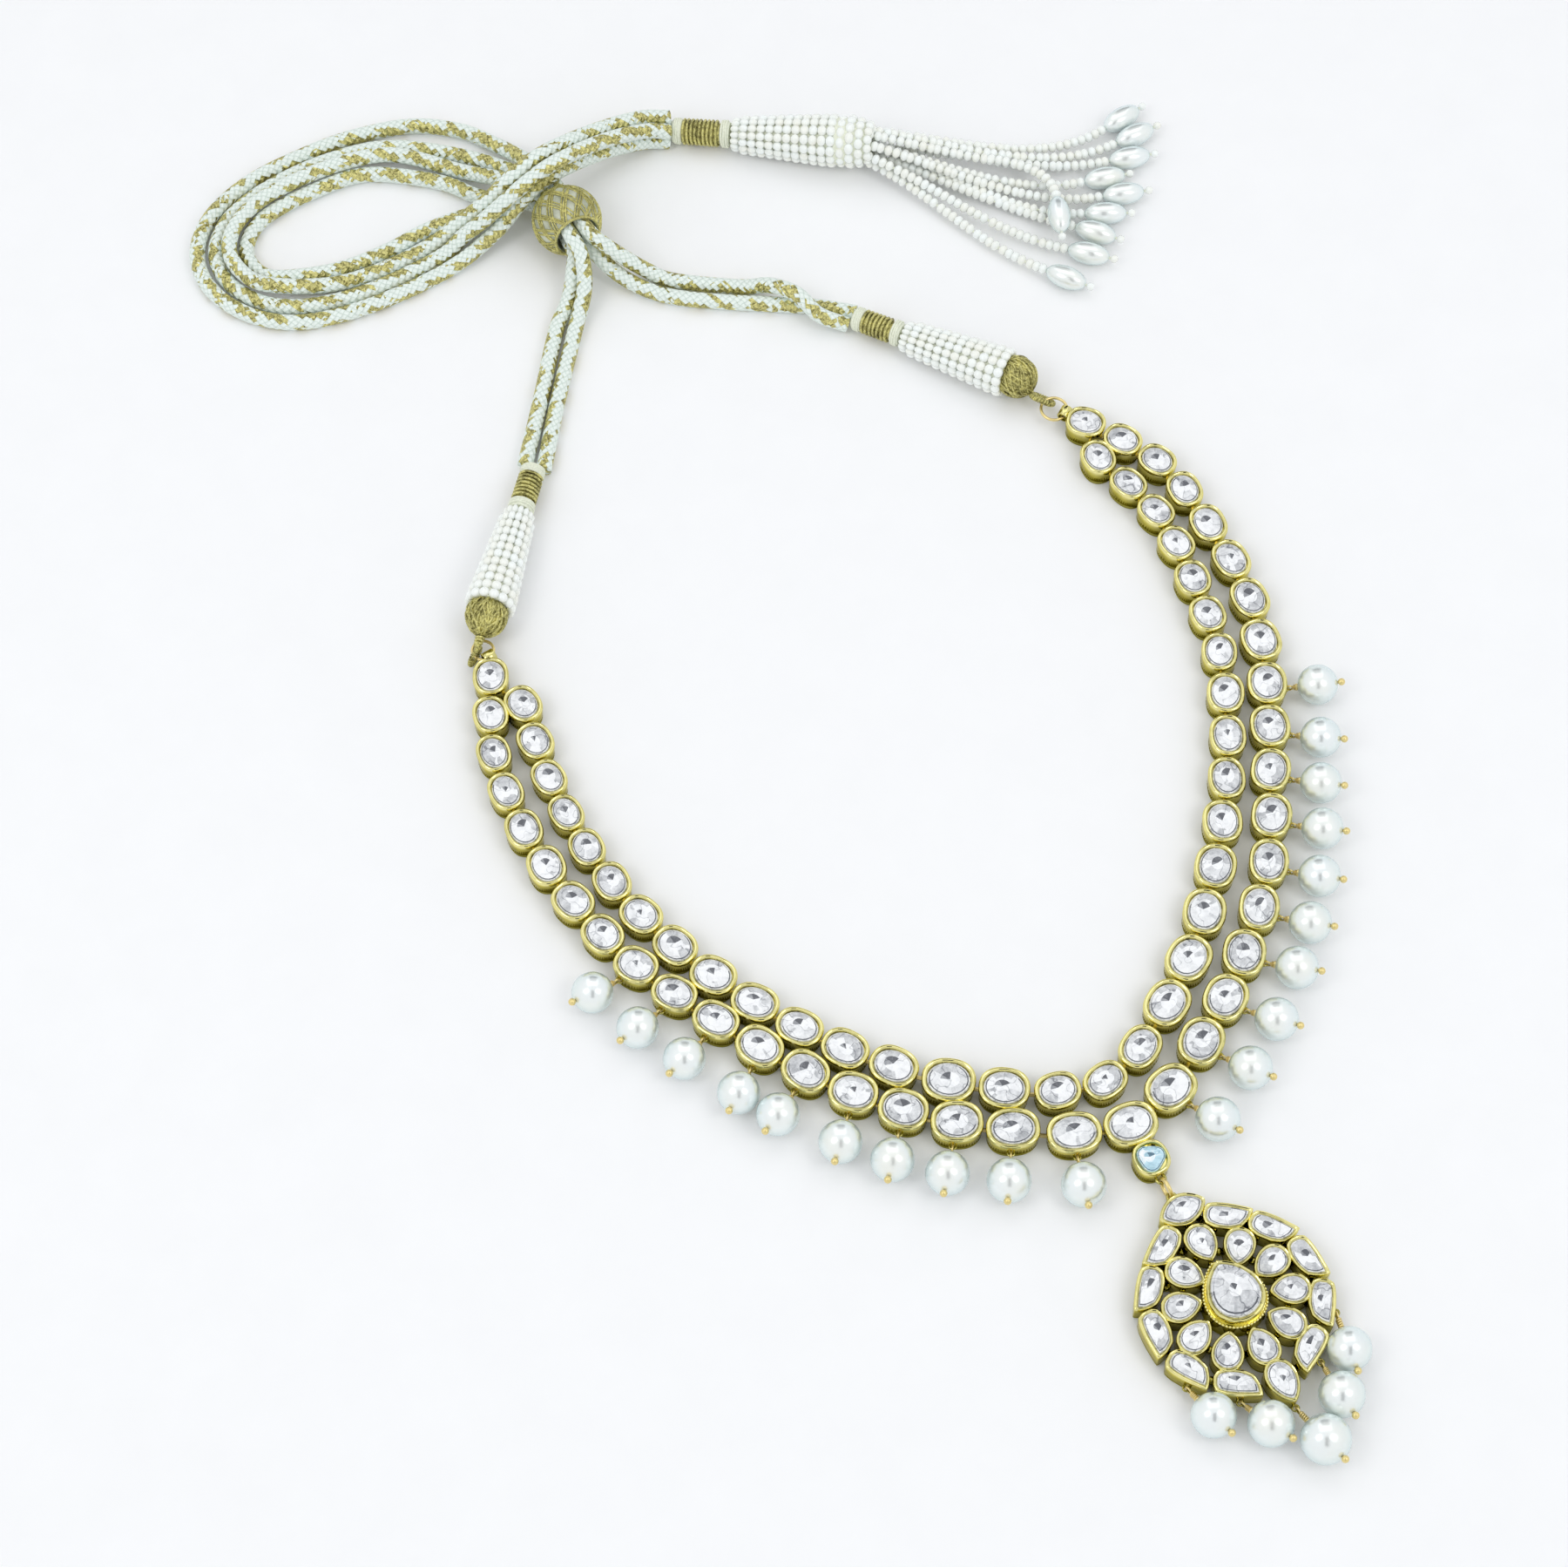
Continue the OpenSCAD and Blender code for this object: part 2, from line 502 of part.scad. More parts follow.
module pendant_frame() {
    color(gold) union() {
        half_pendant();
        mirror([1, 0, 0]) half_pendant();
        for (p = petal_axis) {
            v = centre_at - p;
            translate([p[0], p[1], 0]) rotate(heading(v)) petal();
            solder(p, p + 0.75 * v, 0.9);
        }
        solder(petal_axis[0], top_leaf_at, 0.9);
        solder(petal_axis[1], bottom_drop_at, 0.9);
        translate([top_leaf_at[0], top_leaf_at[1], 0]) top_leaf();
        translate([bottom_drop_at[0], bottom_drop_at[1], 0]) rotate(-90) bottom_drop();
        centre_setting();
        for (d = pendant_drops) translate([d[0], d[1], ring_z]) wire_ring(ring_eye_r, ring_wire_r);
        translate([0, top_leaf_at[1] + 2.9, loop_z]) wire_ring(0.7, 0.25);
    }
}

module centre_setting() {
    translate([centre_at[0], centre_at[1], 0]) rotate(90) difference() {
        union() {
            translate([0, 0, 0.3]) linear_extrude(pendant_h) polygon(pear(5.6, 5.6, 28));
            translate([0, 0, 1]) linear_extrude(centre_h - 1) polygon(pear(5.2, 5.1, 28));
        }
        translate([0, 0, centre_h - stone_h]) linear_extrude(4) polygon(pear(4.35, 4.3, 28));
    }
}

module pendant_stone_at(p, turn, a, b, z, i) {
    translate([p[0], p[1], z]) rotate(turn) stone(a, b, stone_h, stone_cuts[i % len(stone_cuts)]);
}
module centre_stone() {
    color(glass) translate([centre_at[0], centre_at[1] - 0.5, centre_h - stone_h + stone_gap]) rotate(90)
        stone(3.6, 3.3, stone_h + 0.5, stone_cuts[0]);
}
module petal_stones() {
    z = pendant_h + 0.15 - stone_h + 0.2 + stone_gap;
    color(glass) {
        for (m = [0, 1]) mirror([m, 0, 0]) for (i = [0:len(petal_right) - 1]) {
            p = petal_right[i];
            pendant_stone_at(p + 0.3 * direction(heading(p - centre_at)), heading(p - centre_at), 1.85, 1.4, z, i + m);
        }
        for (i = [0, 1])
            pendant_stone_at(petal_axis[i] + [0, i == 0 ? 0.3 : -0.3], 90, 1.85, 1.4, z, i);
    }
}
module border_stones() {
    z = pendant_h - stone_h + 0.2 + stone_gap;
    color(glass) {
        for (m = [0, 1]) mirror([m, 0, 0]) for (i = [0:len(border_right) - 1])
            pendant_stone_at(border_right[i], border_right[i][2], 2.2, 1.05, z, i + m);
        pendant_stone_at(top_leaf_at, 0, 2.1, 1.3, z + 0.2, 2);
        pendant_stone_at(bottom_drop_at + [0, 0.3], -90, 2.05, 1.6, z + 0.2, 3);
    }
}

// The ring between the connector's loop and the pendant's loop
module pendant_bail() {
    top = connector_at[1] - connector_half[1] - 0.5;
    low = top_leaf_at[1] + 2.9;
    color(gold) translate([0, (top + low) / 2, loop_z]) rotate([0, 90, 0]) wire_ring((top - low) / 2, 0.24);
}

// Places what follows along an end assembly: X along it from its start, raised as it thickens
module along(joint, z0, rise) {
    translate([joint[0], joint[1], z0]) rotate([0, -rise, joint[2]]) children();
}
end_z = 2.45;
end_rise = 3.9;
function ball_z() = end_z + ball_s * sin(end_rise);

module cord_wrap(joint) {
    profile = [
        [0, 0], [2.05, 0], [2.2, 0.3], [2.2, 1.5], [2, 1.7], [2.2, wrap_l - 1.7], [2.35, wrap_l - 1.5],
        [2.35, wrap_l - 0.3], [2.2, wrap_l], [0, wrap_l]];
    color(thread_gold) along(joint, end_z, end_rise) rotate([0, 90, 0]) rotate_extrude() polygon(profile);
}
module bead_sleeve(joint) {
    profile = [
        [0, sleeve_s[0]], [sleeve_r[0] - 0.7, sleeve_s[0]], [sleeve_r[0], sleeve_s[0] + 0.7],
        [sleeve_r[1], sleeve_s[1] - 0.7], [sleeve_r[1] - 0.3, sleeve_s[1]], [0, sleeve_s[1]]];
    color(bead_white) along(joint, end_z, end_rise) difference() {
        rotate([0, 90, 0]) rotate_extrude() polygon(profile);
        translate([ball_s, 0, 0]) sphere(ball_r + 0.15);
    }
}

function link_at(k) =
    let (c = outer_collet_list[k == 0 ? 0 : outer_n - 1], j = joints[k])
    bail_at(c, j[0]) + (j[2] - 0.12) * direction(j[1]);
// A ball wound with thread, and the ring of thread that its neck runs into
module thread_ball(k) {
    j = joints[k];
    end = k == 0 ? end_left : end_right;
    ball = [ball_at(end)[0], ball_at(end)[1], ball_z()];
    ring = [j[3], j[4], bail_z];
    near = k == 0 ? ring + j[6] * [-0.5 * cos(j[5]), -0.5 * sin(j[5]), 0.87] : ring + j[6] * [cos(j[5]), sin(j[5]), 0];
    color(thread_gold) union() {
        translate(ball) sphere(ball_r);
        turn_to(ball, near) cylinder_x(norm(near - ball), 0.75);
        translate(ring) rotate(j[5]) rotate([j[8], 0, 0]) wire_ring(j[6], j[7]);
    }
}
module cylinder_x(l, r) {
    rotate([0, 90, 0]) cylinder(h = l, r = r);
}
module link_rings() {
    color(gold) for (k = [0, 1])
        translate([link_at(k)[0], link_at(k)[1], bail_z]) wire_ring(joints[k][2], 0.25);
}

tassel_z = 2.5;
tassel_rise = 4.9;
module tassel_wrap() {
    l = tassel_wrap_l;
    profile = [
        [0, 0], [2.3, 0], [2.45, 0.3], [2.45, 1.6], [2.25, 1.8], [2.3, l - 1.8], [2.5, l - 1.6],
        [2.5, l - 0.3], [2.35, l], [0, l]];
    color(thread_gold) along(tassel_at, tassel_z, tassel_rise) rotate([0, 90, 0]) rotate_extrude() polygon(profile);
}
module tassel_sleeve() {
    s = tassel_sleeve_s;
    r = tassel_sleeve_r;
    profile = [
        [0, s[0]], [r[0] - 0.7, s[0]], [r[0], s[0] + 0.7], [r[1], s[1] - 0.7], [r[1] - 0.5, s[1]], [0, s[1]]];
    color(bead_white) along(tassel_at, tassel_z, tassel_rise) rotate([0, 90, 0]) rotate_extrude() polygon(profile);
}

// Middle of the tassel head's far face
head_end = [
    tassel_at[0] + head_s[1] * cos(tassel_at[2]), tassel_at[1] + head_s[1] * sin(tassel_at[2]),
    tassel_z + head_s[1] * sin(tassel_rise) - 0.6];
// Route of a tassel string from the head to its rice pearl
function string_route(s) =
    let (
        way = direction(tassel_at[2]),
        left = [-way[1], way[0]],
        start = head_end + [s[0] * left[0] - 1.5 * way[0], s[0] * left[1] - 1.5 * way[1], s[1]],
        out = direction(s[5]),
        tip = [s[2] - out[0] * rice_l / 2, s[3] - out[1] * rice_l / 2, s[4]],
        aim = [tip[0] - start[0], tip[1] - start[1]],
        lead = way + 1.7 * aim / norm(aim),
        ahead = lead / norm(lead),
        reach = norm(tip - start) * 0.33,
        rest = max(string_d / 2, s[4] - 1.2),
        p1 = start + [reach * ahead[0], reach * ahead[1], -0.45 * (start[2] - string_d / 2)],
        p2 = [tip[0] - reach * out[0], tip[1] - reach * out[1], rest])
    [for (u = [0:1 / 7:1.001])
        pow(1 - u, 3) * start + 3 * u * pow(1 - u, 2) * p1 + 3 * u * u * (1 - u) * p2 + pow(u, 3) * tip];

module tassel_strings() {
    color(bead_white) {
        along(tassel_at, tassel_z, tassel_rise) translate([head_s[0], 0, 0]) rotate([0, 90, 0])
            rotate_extrude() polygon([
                [0, 0], [4.3, 0], [4.6, 0.8], [4.5, 3], [3.9, 5], [3.4, head_s[1] - head_s[0]],
                [0, head_s[1] - head_s[0]]]);
        for (s = strings) {
            route = string_route(s);
            last = len(route) - 1;
            out = [cos(s[5]), sin(s[5]), 0];
            centre = [s[2], s[3], s[4]];
            bead = centre + (rice_l / 2 + 0.85) * out;
            tube(concat([for (i = [0:last - 1]) route[i]], [centre - (rice_l / 2 + 0.15) * out]), string_d, 8);
            tube([centre - (rice_l / 2 + 0.5) * out, bead], 0.5, 6);
            translate(bead) sphere(0.72, $fn = 10);
        }
    }
}
module tassel_pearls() {
    color(pearl_white) for (s = strings)
        translate([s[2], s[3], s[4]]) rotate(s[5]) difference() {
            scale([rice_l / 2, rice_d / 2, rice_d / 2]) sphere(1, $fn = 40);
            rotate([0, 90, 0]) cylinder(h = 2 * rice_l, r = 0.4, center = true);
        }
}

module cord(route) {
    color(bead_white) tube(route, cord_d, 8);
}

slide_at = [-5.3, 189.2, slide_bead_d / 2];
slide_tilt = -10.6;
module slide_bead() {
    color("khaki") translate(slide_at) rotate([slide_tilt, 0, 0]) rotate(90)
        drilled_ball(slide_bead_d / 2, 3.75, 48);
}

module placed() {
    translate([-box_middle[0], -box_middle[1], 0]) children();
}
placed() end_collet(-1);  // end_collet_left
placed() end_collet(1);  // end_collet_right
placed() centre_collets();
placed() outer_collets();
placed() inner_collets();
placed() row_wire(outer_points);  // outer_row_wire
placed() row_wire(inner_run);  // inner_row_wire
placed() outer_stones();
placed() inner_stones();
placed() connector_stone();
placed() pendant_bail();
placed() pendant_frame();
placed() centre_stone();
placed() petal_stones();
placed() border_stones();
placed() strip_pins();
placed() pendant_pins();
for (k = [1:10]) {
    placed() pearl(strip_drop(k, -1));
    placed() pearl(strip_drop(k, 1));
}
for (k = [1:5])
    placed() pearl(pendant_drops[k - 1]);
placed() link_rings();
placed() thread_ball(0);  // thread_ball_left
placed() thread_ball(1);  // thread_ball_right
placed() bead_sleeve(end_left);  // bead_sleeve_left
placed() bead_sleeve(end_right);  // bead_sleeve_right
placed() cord_wrap(end_left);  // cord_wrap_left
placed() cord_wrap(end_right);  // cord_wrap_right
placed() tassel_wrap();
placed() tassel_sleeve();
placed() tassel_strings();
placed() tassel_pearls();
placed() cord(route_left_1);  // cord_left_1
placed() cord(route_left_2);  // cord_left_2
placed() cord(route_right_1);  // cord_right_1
placed() cord(route_right_2);  // cord_right_2
placed() slide_bead();
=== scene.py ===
"""A kundan necklace dressed for a soft studio light: gold, stones, pearls, beadwork and cords over its solids."""

import math
import random

import bmesh
import bpy
from mathutils import Matrix, Vector


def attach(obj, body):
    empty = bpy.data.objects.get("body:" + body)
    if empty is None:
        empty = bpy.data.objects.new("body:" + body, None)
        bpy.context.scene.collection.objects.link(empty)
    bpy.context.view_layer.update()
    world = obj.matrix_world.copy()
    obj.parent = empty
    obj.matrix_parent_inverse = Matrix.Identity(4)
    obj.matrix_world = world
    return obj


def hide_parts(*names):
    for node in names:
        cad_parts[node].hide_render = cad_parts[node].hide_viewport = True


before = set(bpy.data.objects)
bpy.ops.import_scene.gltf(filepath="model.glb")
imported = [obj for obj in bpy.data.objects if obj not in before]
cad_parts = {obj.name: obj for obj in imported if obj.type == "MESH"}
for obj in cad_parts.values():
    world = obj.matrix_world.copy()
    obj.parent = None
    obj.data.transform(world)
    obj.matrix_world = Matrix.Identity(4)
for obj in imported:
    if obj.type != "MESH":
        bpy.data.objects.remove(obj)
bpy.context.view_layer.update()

bl_info = {
    "name": "Kundan necklace",
    "version": (1, 0, 0),
    "blender": (4, 5, 0),
    "location": "View3D > Sidebar > Necklace",
    "description": "Gold, stones, pearls, beadwork and cords of a kundan necklace",
    "category": "Add Mesh",
}

MM = 0.001
# The middle of the necklace's box, measured from the middle collet of the outer row, in mm
MIDDLE = (14.8, 70.3)
# Which way is up in the picture, as a heading on the table; it also aims the painted reflections and shade of the
# stones
UPWARD = 62.95

# Middle lines of the two rows, a row for every second collet, in mm
OUTER_LINE = [
    (-54.5, 115.5), (-60, 102.5), (-61.5, 88), (-60, 73), (-56, 58.5), (-49, 44.5), (-40.5, 30.5),
    (-30, 18), (-16.5, 7.5), (0, 0), (16.5, 7), (30, 17), (41.5, 29), (50, 43), (57.5, 57),
    (63, 72), (64, 87.5), (62.5, 102), (55.5, 114)]
INNER_LINE = [
    (-52, 108.5), (-54, 94.5), (-54, 80.5), (-51.5, 66), (-46, 51.5), (-38, 37.5), (-28, 25),
    (-14.5, 14), (0, 8), (15, 15), (28, 26), (38.5, 38.5), (47, 51.5), (53.5, 65.5), (56.5, 79.5),
    (57.5, 93.5), (54, 107)]
# How a collet differs from the next, used in turn: turn in degrees, share of the usual width
COLLET_CUTS = [(6, 1), (-5, 0.97), (9, 0.94), (0, 1), (-9, 0.98), (4, 0.93), (11, 0.99)]
# Pearls of the strip, from the middle out: swing from straight out, left and right
PEARL_SWING = [(5, 3), (0, 0), (0, 1), (5, 4), (9, -2), (-3, -8), (9, -12), (-3, -14), (-8, -13), (-14, -4)]
CONNECTOR = (0, -6.35, 0, 2.8, 2.7)

# The pendant's settings, right half: x, y, heading of the long side
BORDER = [(5.4, -19.9, -36), (10.5, -24.6, -53), (12.8, -31, -88), (11.4, -38, -124), (6.2, -43.2, -150)]
# A border setting's outline, as shares of its half sizes
BORDER_OUTLINE = [
    (-1, -0.3), (-0.85, -0.75), (-0.4, -1), (0.2, -0.95), (0.7, -0.6), (1, 0.2), (1.08, 0.95),
    (0.5, 1.05), (0, 1.08), (-0.5, 1.02), (-0.85, 0.85), (-1, 0.4)]
TOP_LEAF = (0, -15.9)
TOP_LEAF_TURN = 0
BOTTOM_DROP = (0, -46.2)
PETALS = [(4.7, -25), (7.75, -29.3), (8.2, -34.3), (5.1, -38.5)]
PETALS_ON_AXIS = [(0, -21.9), (0, -40.1)]
CENTRE = (0, -31)
# From grain to grain of the middle setting's beaded edge
GRAIN_STEP = 0.52
# Drops of the pendant: ring x and y, pearl x and y, pearl diameter
PENDANT_DROPS = [
    (12.95, -40.1, 11.4, -46.3, 6.8), (6.95, -45.8, 6.7, -51.9, 7.1), (0, -50.2, 1, -56.8, 7.7),
    (-6.95, -45.7, -4.9, -51, 7.1), (-12.95, -40.1, -11.8, -46, 6.9)]

# Where each cord wrap begins: x, y and the heading of the sleeve beyond it
END_LEFT = (-31, 148.7, 230)
END_RIGHT = (30.8, 151, 307)
TASSEL_AT = (20.5, 200.3, -35)
# Joint of an end collet with its thread ball: heading of the bail, heading and radius of the link ring,
# thread ring's x, y, heading, radius, thread radius, roll
JOINTS = [
    (69, 104, 1.75, -54.95, 120.75, 215, 1.6, 0.45, 85),
    (115, 128, 2.2, 51.6, 122, 124, 1.9, 0.55, 50)]
# Strings of the tassel: start across the head and above its axis, then x, y, z, heading of the rice pearl
STRINGS = [
    (2.6, 0.6, 92.3, 167, 2, 8), (1.5, 2.2, 92.6, 162.8, 2, 0), (0.2, 2.7, 89.4, 159, 2, -16),
    (-0.6, 0.9, 83.4, 157.2, 2, -15), (-1.5, 2.2, 84.7, 152.8, 2, -18), (0.9, -0.6, 79.9, 150.6, 2, -26),
    (-0.9, -0.9, 76.4, 147.9, 2, -46), (-2.6, 0.6, 73.2, 144.6, 2, -42), (1.9, -1.9, 71.4, 152.3, 4.9, -112),
    (-2.2, -1.6, 67.3, 142, 2, -52)]
SLIDE_AT = (-5.3, 189.2, 6.1)
SLIDE_TILT = -10.6
SLIDE_R = 5.8
SLIDE_MOUTH_R = 3.8
# Heights over the floor: rings of the drops, link rings, wraps and sleeves; how the last rise, in degrees
RING_Z, LINK_Z, SLEEVE_Z, TASSEL_Z = 1.7, 2.2, 2.45, 2.5
SLEEVE_RISE, TASSEL_RISE = 3.9, 4.9
# Along an end: from its wrap to the middle of its thread ball, and to where the tassel's strings begin
BALL_ALONG, STRINGS_ALONG = 30.4, 35.6
BALL_R = 3.3
# Beads of the tassel's strings: their pitch, and the height of the strings' middle where they lie
BEAD_STEP, STRING_LOW = 1.36, 0.725
CAMERA_AT = (-0.1618, -0.2410, 0.55265)
CAMERA_TURN = (26.8, 0, -27.05)
# Felt cards that the gold and the pearls mirror: lean from upright, side, width and length in m; their distance
CARDS = (("card_near", 34, -117, 0.24, 0.66), ("card_far", 60, 63, 0.5, 0.62))
CARD_FAR = 0.9

# Routes of the four cords from their wraps through the slide bead and round the loop to the tassel, in mm
ROUTES = {
    "cord_left_1": [
        (-31.9, 150.4, 1.6), (-24, 161, 1.35), (-15.6, 172.5, 1.35), (-11.2, 176.6, 2.25),
        (-8.2, 180.6, 4.55), (-6.8, 184, 5.6), (-6.8, 194.4, 3.3), (-9.6, 198.8, 2.4), (-15.5, 203.5, 1.6),
        (-20.5, 209.8, 1.35), (-31, 217, 1.35), (-40.5, 218, 1.35), (-49, 217.2, 1.35), (-53.8, 215, 1.35),
        (-56.6, 211, 1.35), (-56, 206.5, 1.35), (-52.9, 203.8, 1.35), (-44, 201, 1.35), (-35, 200.6, 1.35),
        (-27.5, 201.4, 1.35), (-21.4, 201.2, 1.55), (-16.3, 199.3, 3.65), (-10.3, 198.5, 7.9),
        (-4.5, 199.8, 9), (5.4, 202.2, 5.9), (15, 203.3, 2.7), (20.9, 201.8, 1.4)],
    "cord_left_2": [
        (-29.6, 148, 1.6), (-21.5, 159.5, 1.35), (-12.9, 170.8, 1.45), (-8.4, 176, 4.4),
        (-6.8, 179.9, 7.55), (-6.7, 184, 8.65), (-6.6, 194.5, 6.25), (-8.3, 199, 5.25), (-11.2, 203.7, 3.9),
        (-16.2, 210, 1.6), (-24.5, 217.1, 2.75), (-31.5, 219.6, 3.1), (-40.8, 220.3, 3.15),
        (-49.8, 219.3, 3.2), (-55.9, 216.5, 3.15), (-59.2, 212, 3.25), (-59.1, 206.9, 3.3),
        (-56.1, 202.5, 3.1), (-46.5, 198.4, 1.95), (-37, 197.5, 1.35), (-27, 198.4, 1.35),
        (-21.6, 198.8, 3.7), (-16.6, 198.4, 6.85), (-10.7, 198.5, 11.2), (-4.5, 199.8, 12),
        (5.5, 202.2, 8.9), (15.1, 203.3, 5.7), (20.6, 202, 4.2)],
    "cord_right_1": [
        (29.3, 150.7, 1.6), (25.4, 153.9, 3.25), (23.5, 158.5, 4.65), (20.6, 163.1, 3.2), (16.5, 166.2, 1.35),
        (7, 172.5, 1.35), (3.3, 176, 2.55), (-1.3, 180, 6.7), (-3.7, 183.9, 8.85), (-3.8, 194.5, 6.55),
        (-4.4, 200.6, 5.4), (-5.9, 206.6, 3.3), (-8.5, 212.5, 1.6), (-12.5, 218, 1.35), (-20, 223, 1.35),
        (-30.5, 225.5, 1.35), (-40, 225.8, 1.35), (-49.6, 224.9, 1.35), (-58.1, 221.7, 1.35),
        (-63.4, 216.5, 1.35), (-65.2, 210, 1.35), (-63.6, 203.3, 1.35), (-59.1, 197.3, 1.35),
        (-52, 193.3, 1.35), (-40, 191.6, 1.35), (-26.4, 192.4, 1.35), (-16.9, 194.1, 3.7),
        (-9.8, 195.6, 8.35), (-3.6, 197, 9.25), (6.5, 199.5, 5.85), (14.9, 200.3, 2.7), (19.1, 199.3, 1.4)],
    "cord_right_2": [
        (31.8, 152.2, 1.6), (27.1, 156.1, 1.35), (21.5, 159.5, 1.35), (9, 167, 1.35), (3, 171.8, 1.35),
        (-0.9, 176.7, 2.3), (-3.4, 181.1, 4.75), (-3.9, 184, 5.6), (-3.8, 194.5, 3.6), (-5.5, 199.5, 2.55),
        (-8.1, 205.4, 1.9), (-12.5, 211, 1.35), (-18.5, 216.2, 1.35), (-24.4, 220.1, 1.35),
        (-31, 222.2, 1.35), (-40.5, 222.9, 1.35), (-50, 221.7, 1.35), (-57, 218.8, 1.35),
        (-61.1, 214, 1.35), (-61.9, 208.5, 1.35), (-60.2, 203.5, 1.35), (-56.4, 199.1, 1.35),
        (-50, 196, 1.35), (-40, 194.5, 1.35), (-27, 195.3, 1.4), (-22.1, 195.9, 3.7), (-17.1, 195.6, 6.9),
        (-10.3, 195.6, 11.45), (-3.4, 197, 12.2), (6.6, 199.5, 8.95), (15, 200.3, 5.75), (19.3, 199.2, 4.2)],
}


# ---------------------------------------------------------------- places

def spot(x, y, z=0.0):
    """A point of the necklace's plan in mm, as a place in the scene."""
    return Vector(((x - MIDDLE[0]) * MM, (y - MIDDLE[1]) * MM, z * MM))


def turned(angle, axis):
    return Matrix.Rotation(math.radians(angle), 4, axis)


def around(n):
    """The angles of a round of n points."""
    return [math.tau * j / n for j in range(n)]


def heading(v):
    """The way a vector points on the table, in degrees from X."""
    return math.degrees(math.atan2(v[1], v[0]))


def toward(a):
    """The unit vector of a heading."""
    return Vector((math.cos(math.radians(a)), math.sin(math.radians(a))))


def curve_point(t, rows):
    """A point on the smooth curve through a table's rows, where t counts rows."""
    last = len(rows) - 1
    i = max(0, min(int(math.floor(t)), last - 1))
    u = t - i
    p1, p2 = Vector(rows[i]), Vector(rows[i + 1])
    p0 = 2 * p1 - p2 if i == 0 else Vector(rows[i - 1])
    p3 = 2 * p2 - p1 if i + 1 == last else Vector(rows[i + 2])
    return (2 * p1 + (p2 - p0) * u + (2 * p0 - 5 * p1 + 4 * p2 - p3) * u * u
            + (3 * p1 - p0 - 3 * p2 + p3) * u * u * u) / 2


def collets_of(run):
    """Place, turn, half length and half width of each collet of a run; its turn follows the heading between its
    neighbours.
    """
    found = []
    for i in range(1, len(run) - 1):
        turn, share = COLLET_CUTS[(3 * i) % len(COLLET_CUTS)]
        half = (min((run[i] - run[i - 1]).length, (run[i + 1] - run[i]).length) - 0.3) / 2
        found.append((run[i].x, run[i].y, heading(run[i + 1] - run[i - 1]) + turn, half, half * 0.79 * share))
    return found


OUTER = [curve_point(i / 2, OUTER_LINE) for i in range(2 * len(OUTER_LINE) - 1)]
INNER = [curve_point(i / 2, INNER_LINE) for i in range(2 * len(INNER_LINE) - 1)]
OUTER_RUN = [2 * OUTER[0] - OUTER[1]] + OUTER + [2 * OUTER[-1] - OUTER[-2]]
INNER_RUN = [OUTER[0]] + INNER + [OUTER[-1]]
OUTER_COLLETS = collets_of(OUTER_RUN)
INNER_COLLETS = collets_of(INNER_RUN)
MIDDLE_COLLET = len(OUTER) // 2


def wall_at(c, way):
    """Distance from the middle of a collet to its wall, in a given direction."""
    a = math.radians(way - c[2])
    return 0.98 / math.sqrt((math.cos(a) / c[3]) ** 2 + (math.sin(a) / c[4]) ** 2)


def bail_at(c, way):
    """Where the bail tube of an end collet is."""
    return Vector(c[:2]) + (wall_at(c, way) + 1) * toward(way)


def strip_drop(k, side):
    """Ring and pearl of drop k of the strip: ring x, y, pearl x, y, diameter."""
    i = MIDDLE_COLLET + side * k
    c = OUTER_COLLETS[i]
    way = heading(OUTER_RUN[i + 2] - OUTER_RUN[i]) - 90 + PEARL_SWING[k - 1][0 if side < 0 else 1]
    wall = wall_at(c, way)
    d = 7 - 0.4 * (k - 1) / 9
    ring = Vector(c[:2]) + (wall + 0.3) * toward(way)
    pearl = Vector(c[:2]) + (wall + 2 + d / 2) * toward(way)
    return (ring.x, ring.y, pearl.x, pearl.y, d)


def hung(drop):
    """Where a drop's ring is, where its pearl is, and the pearl's radius."""
    r = drop[4] / 2
    return Vector((drop[0], drop[1], RING_Z)), Vector((drop[2], drop[3], r)), r


SIDES = {"left": -1, "right": 1}
STRIP_DROPS = {name + "_" + str(k): strip_drop(k, side) for name, side in SIDES.items() for k in range(1, 11)}
# Each end of the necklace: name, place of its sleeve, joint, end collet
ENDS = (("left", END_LEFT, JOINTS[0], OUTER_COLLETS[0]), ("right", END_RIGHT, JOINTS[1], OUTER_COLLETS[-1]))


def standing(x, y, z=0.0, turn=0.0, size=(1, 1, 1)):
    """The place of a copy that stands at a point of the plan, turned about its upright axis."""
    return Matrix.Translation(spot(x, y, z)) @ turned(turn, "Z") @ Matrix.Diagonal((*size, 1))


def aimed(p, q):
    """The place of a copy whose X axis starts at p and points to q, both in mm on the plan."""
    p, q = Vector(p), Vector(q)
    v = q - p
    rise = math.atan2(v.z, math.hypot(v.x, v.y))
    return (Matrix.Translation(spot(*p)) @ Matrix.Rotation(math.atan2(v.y, v.x), 4, "Z")
            @ Matrix.Rotation(-rise, 4, "Y"))


def lying(joint, z, rise):
    """The place of a beaded or wound end, X along it from its start."""
    return standing(joint[0], joint[1], z, joint[2]) @ turned(-rise, "Y")


# ---------------------------------------------------------------- modelling by hand

def put_down():
    """Leaves nothing selected and no mesh open."""
    if bpy.context.object and bpy.context.object.mode != "OBJECT":
        bpy.ops.object.mode_set(mode="OBJECT")
    bpy.ops.object.select_all(action="DESELECT")


def pick_up(*pieces):
    put_down()
    for piece in pieces:
        piece.select_set(True)
    bpy.context.view_layer.objects.active = pieces[0]


def named(piece, name):
    piece.name = name
    piece.data.name = name
    return piece


def settle(piece):
    """A piece with its place put into its mesh."""
    pick_up(piece)
    bpy.ops.object.transform_apply(location=True, rotation=True, scale=True)
    return piece


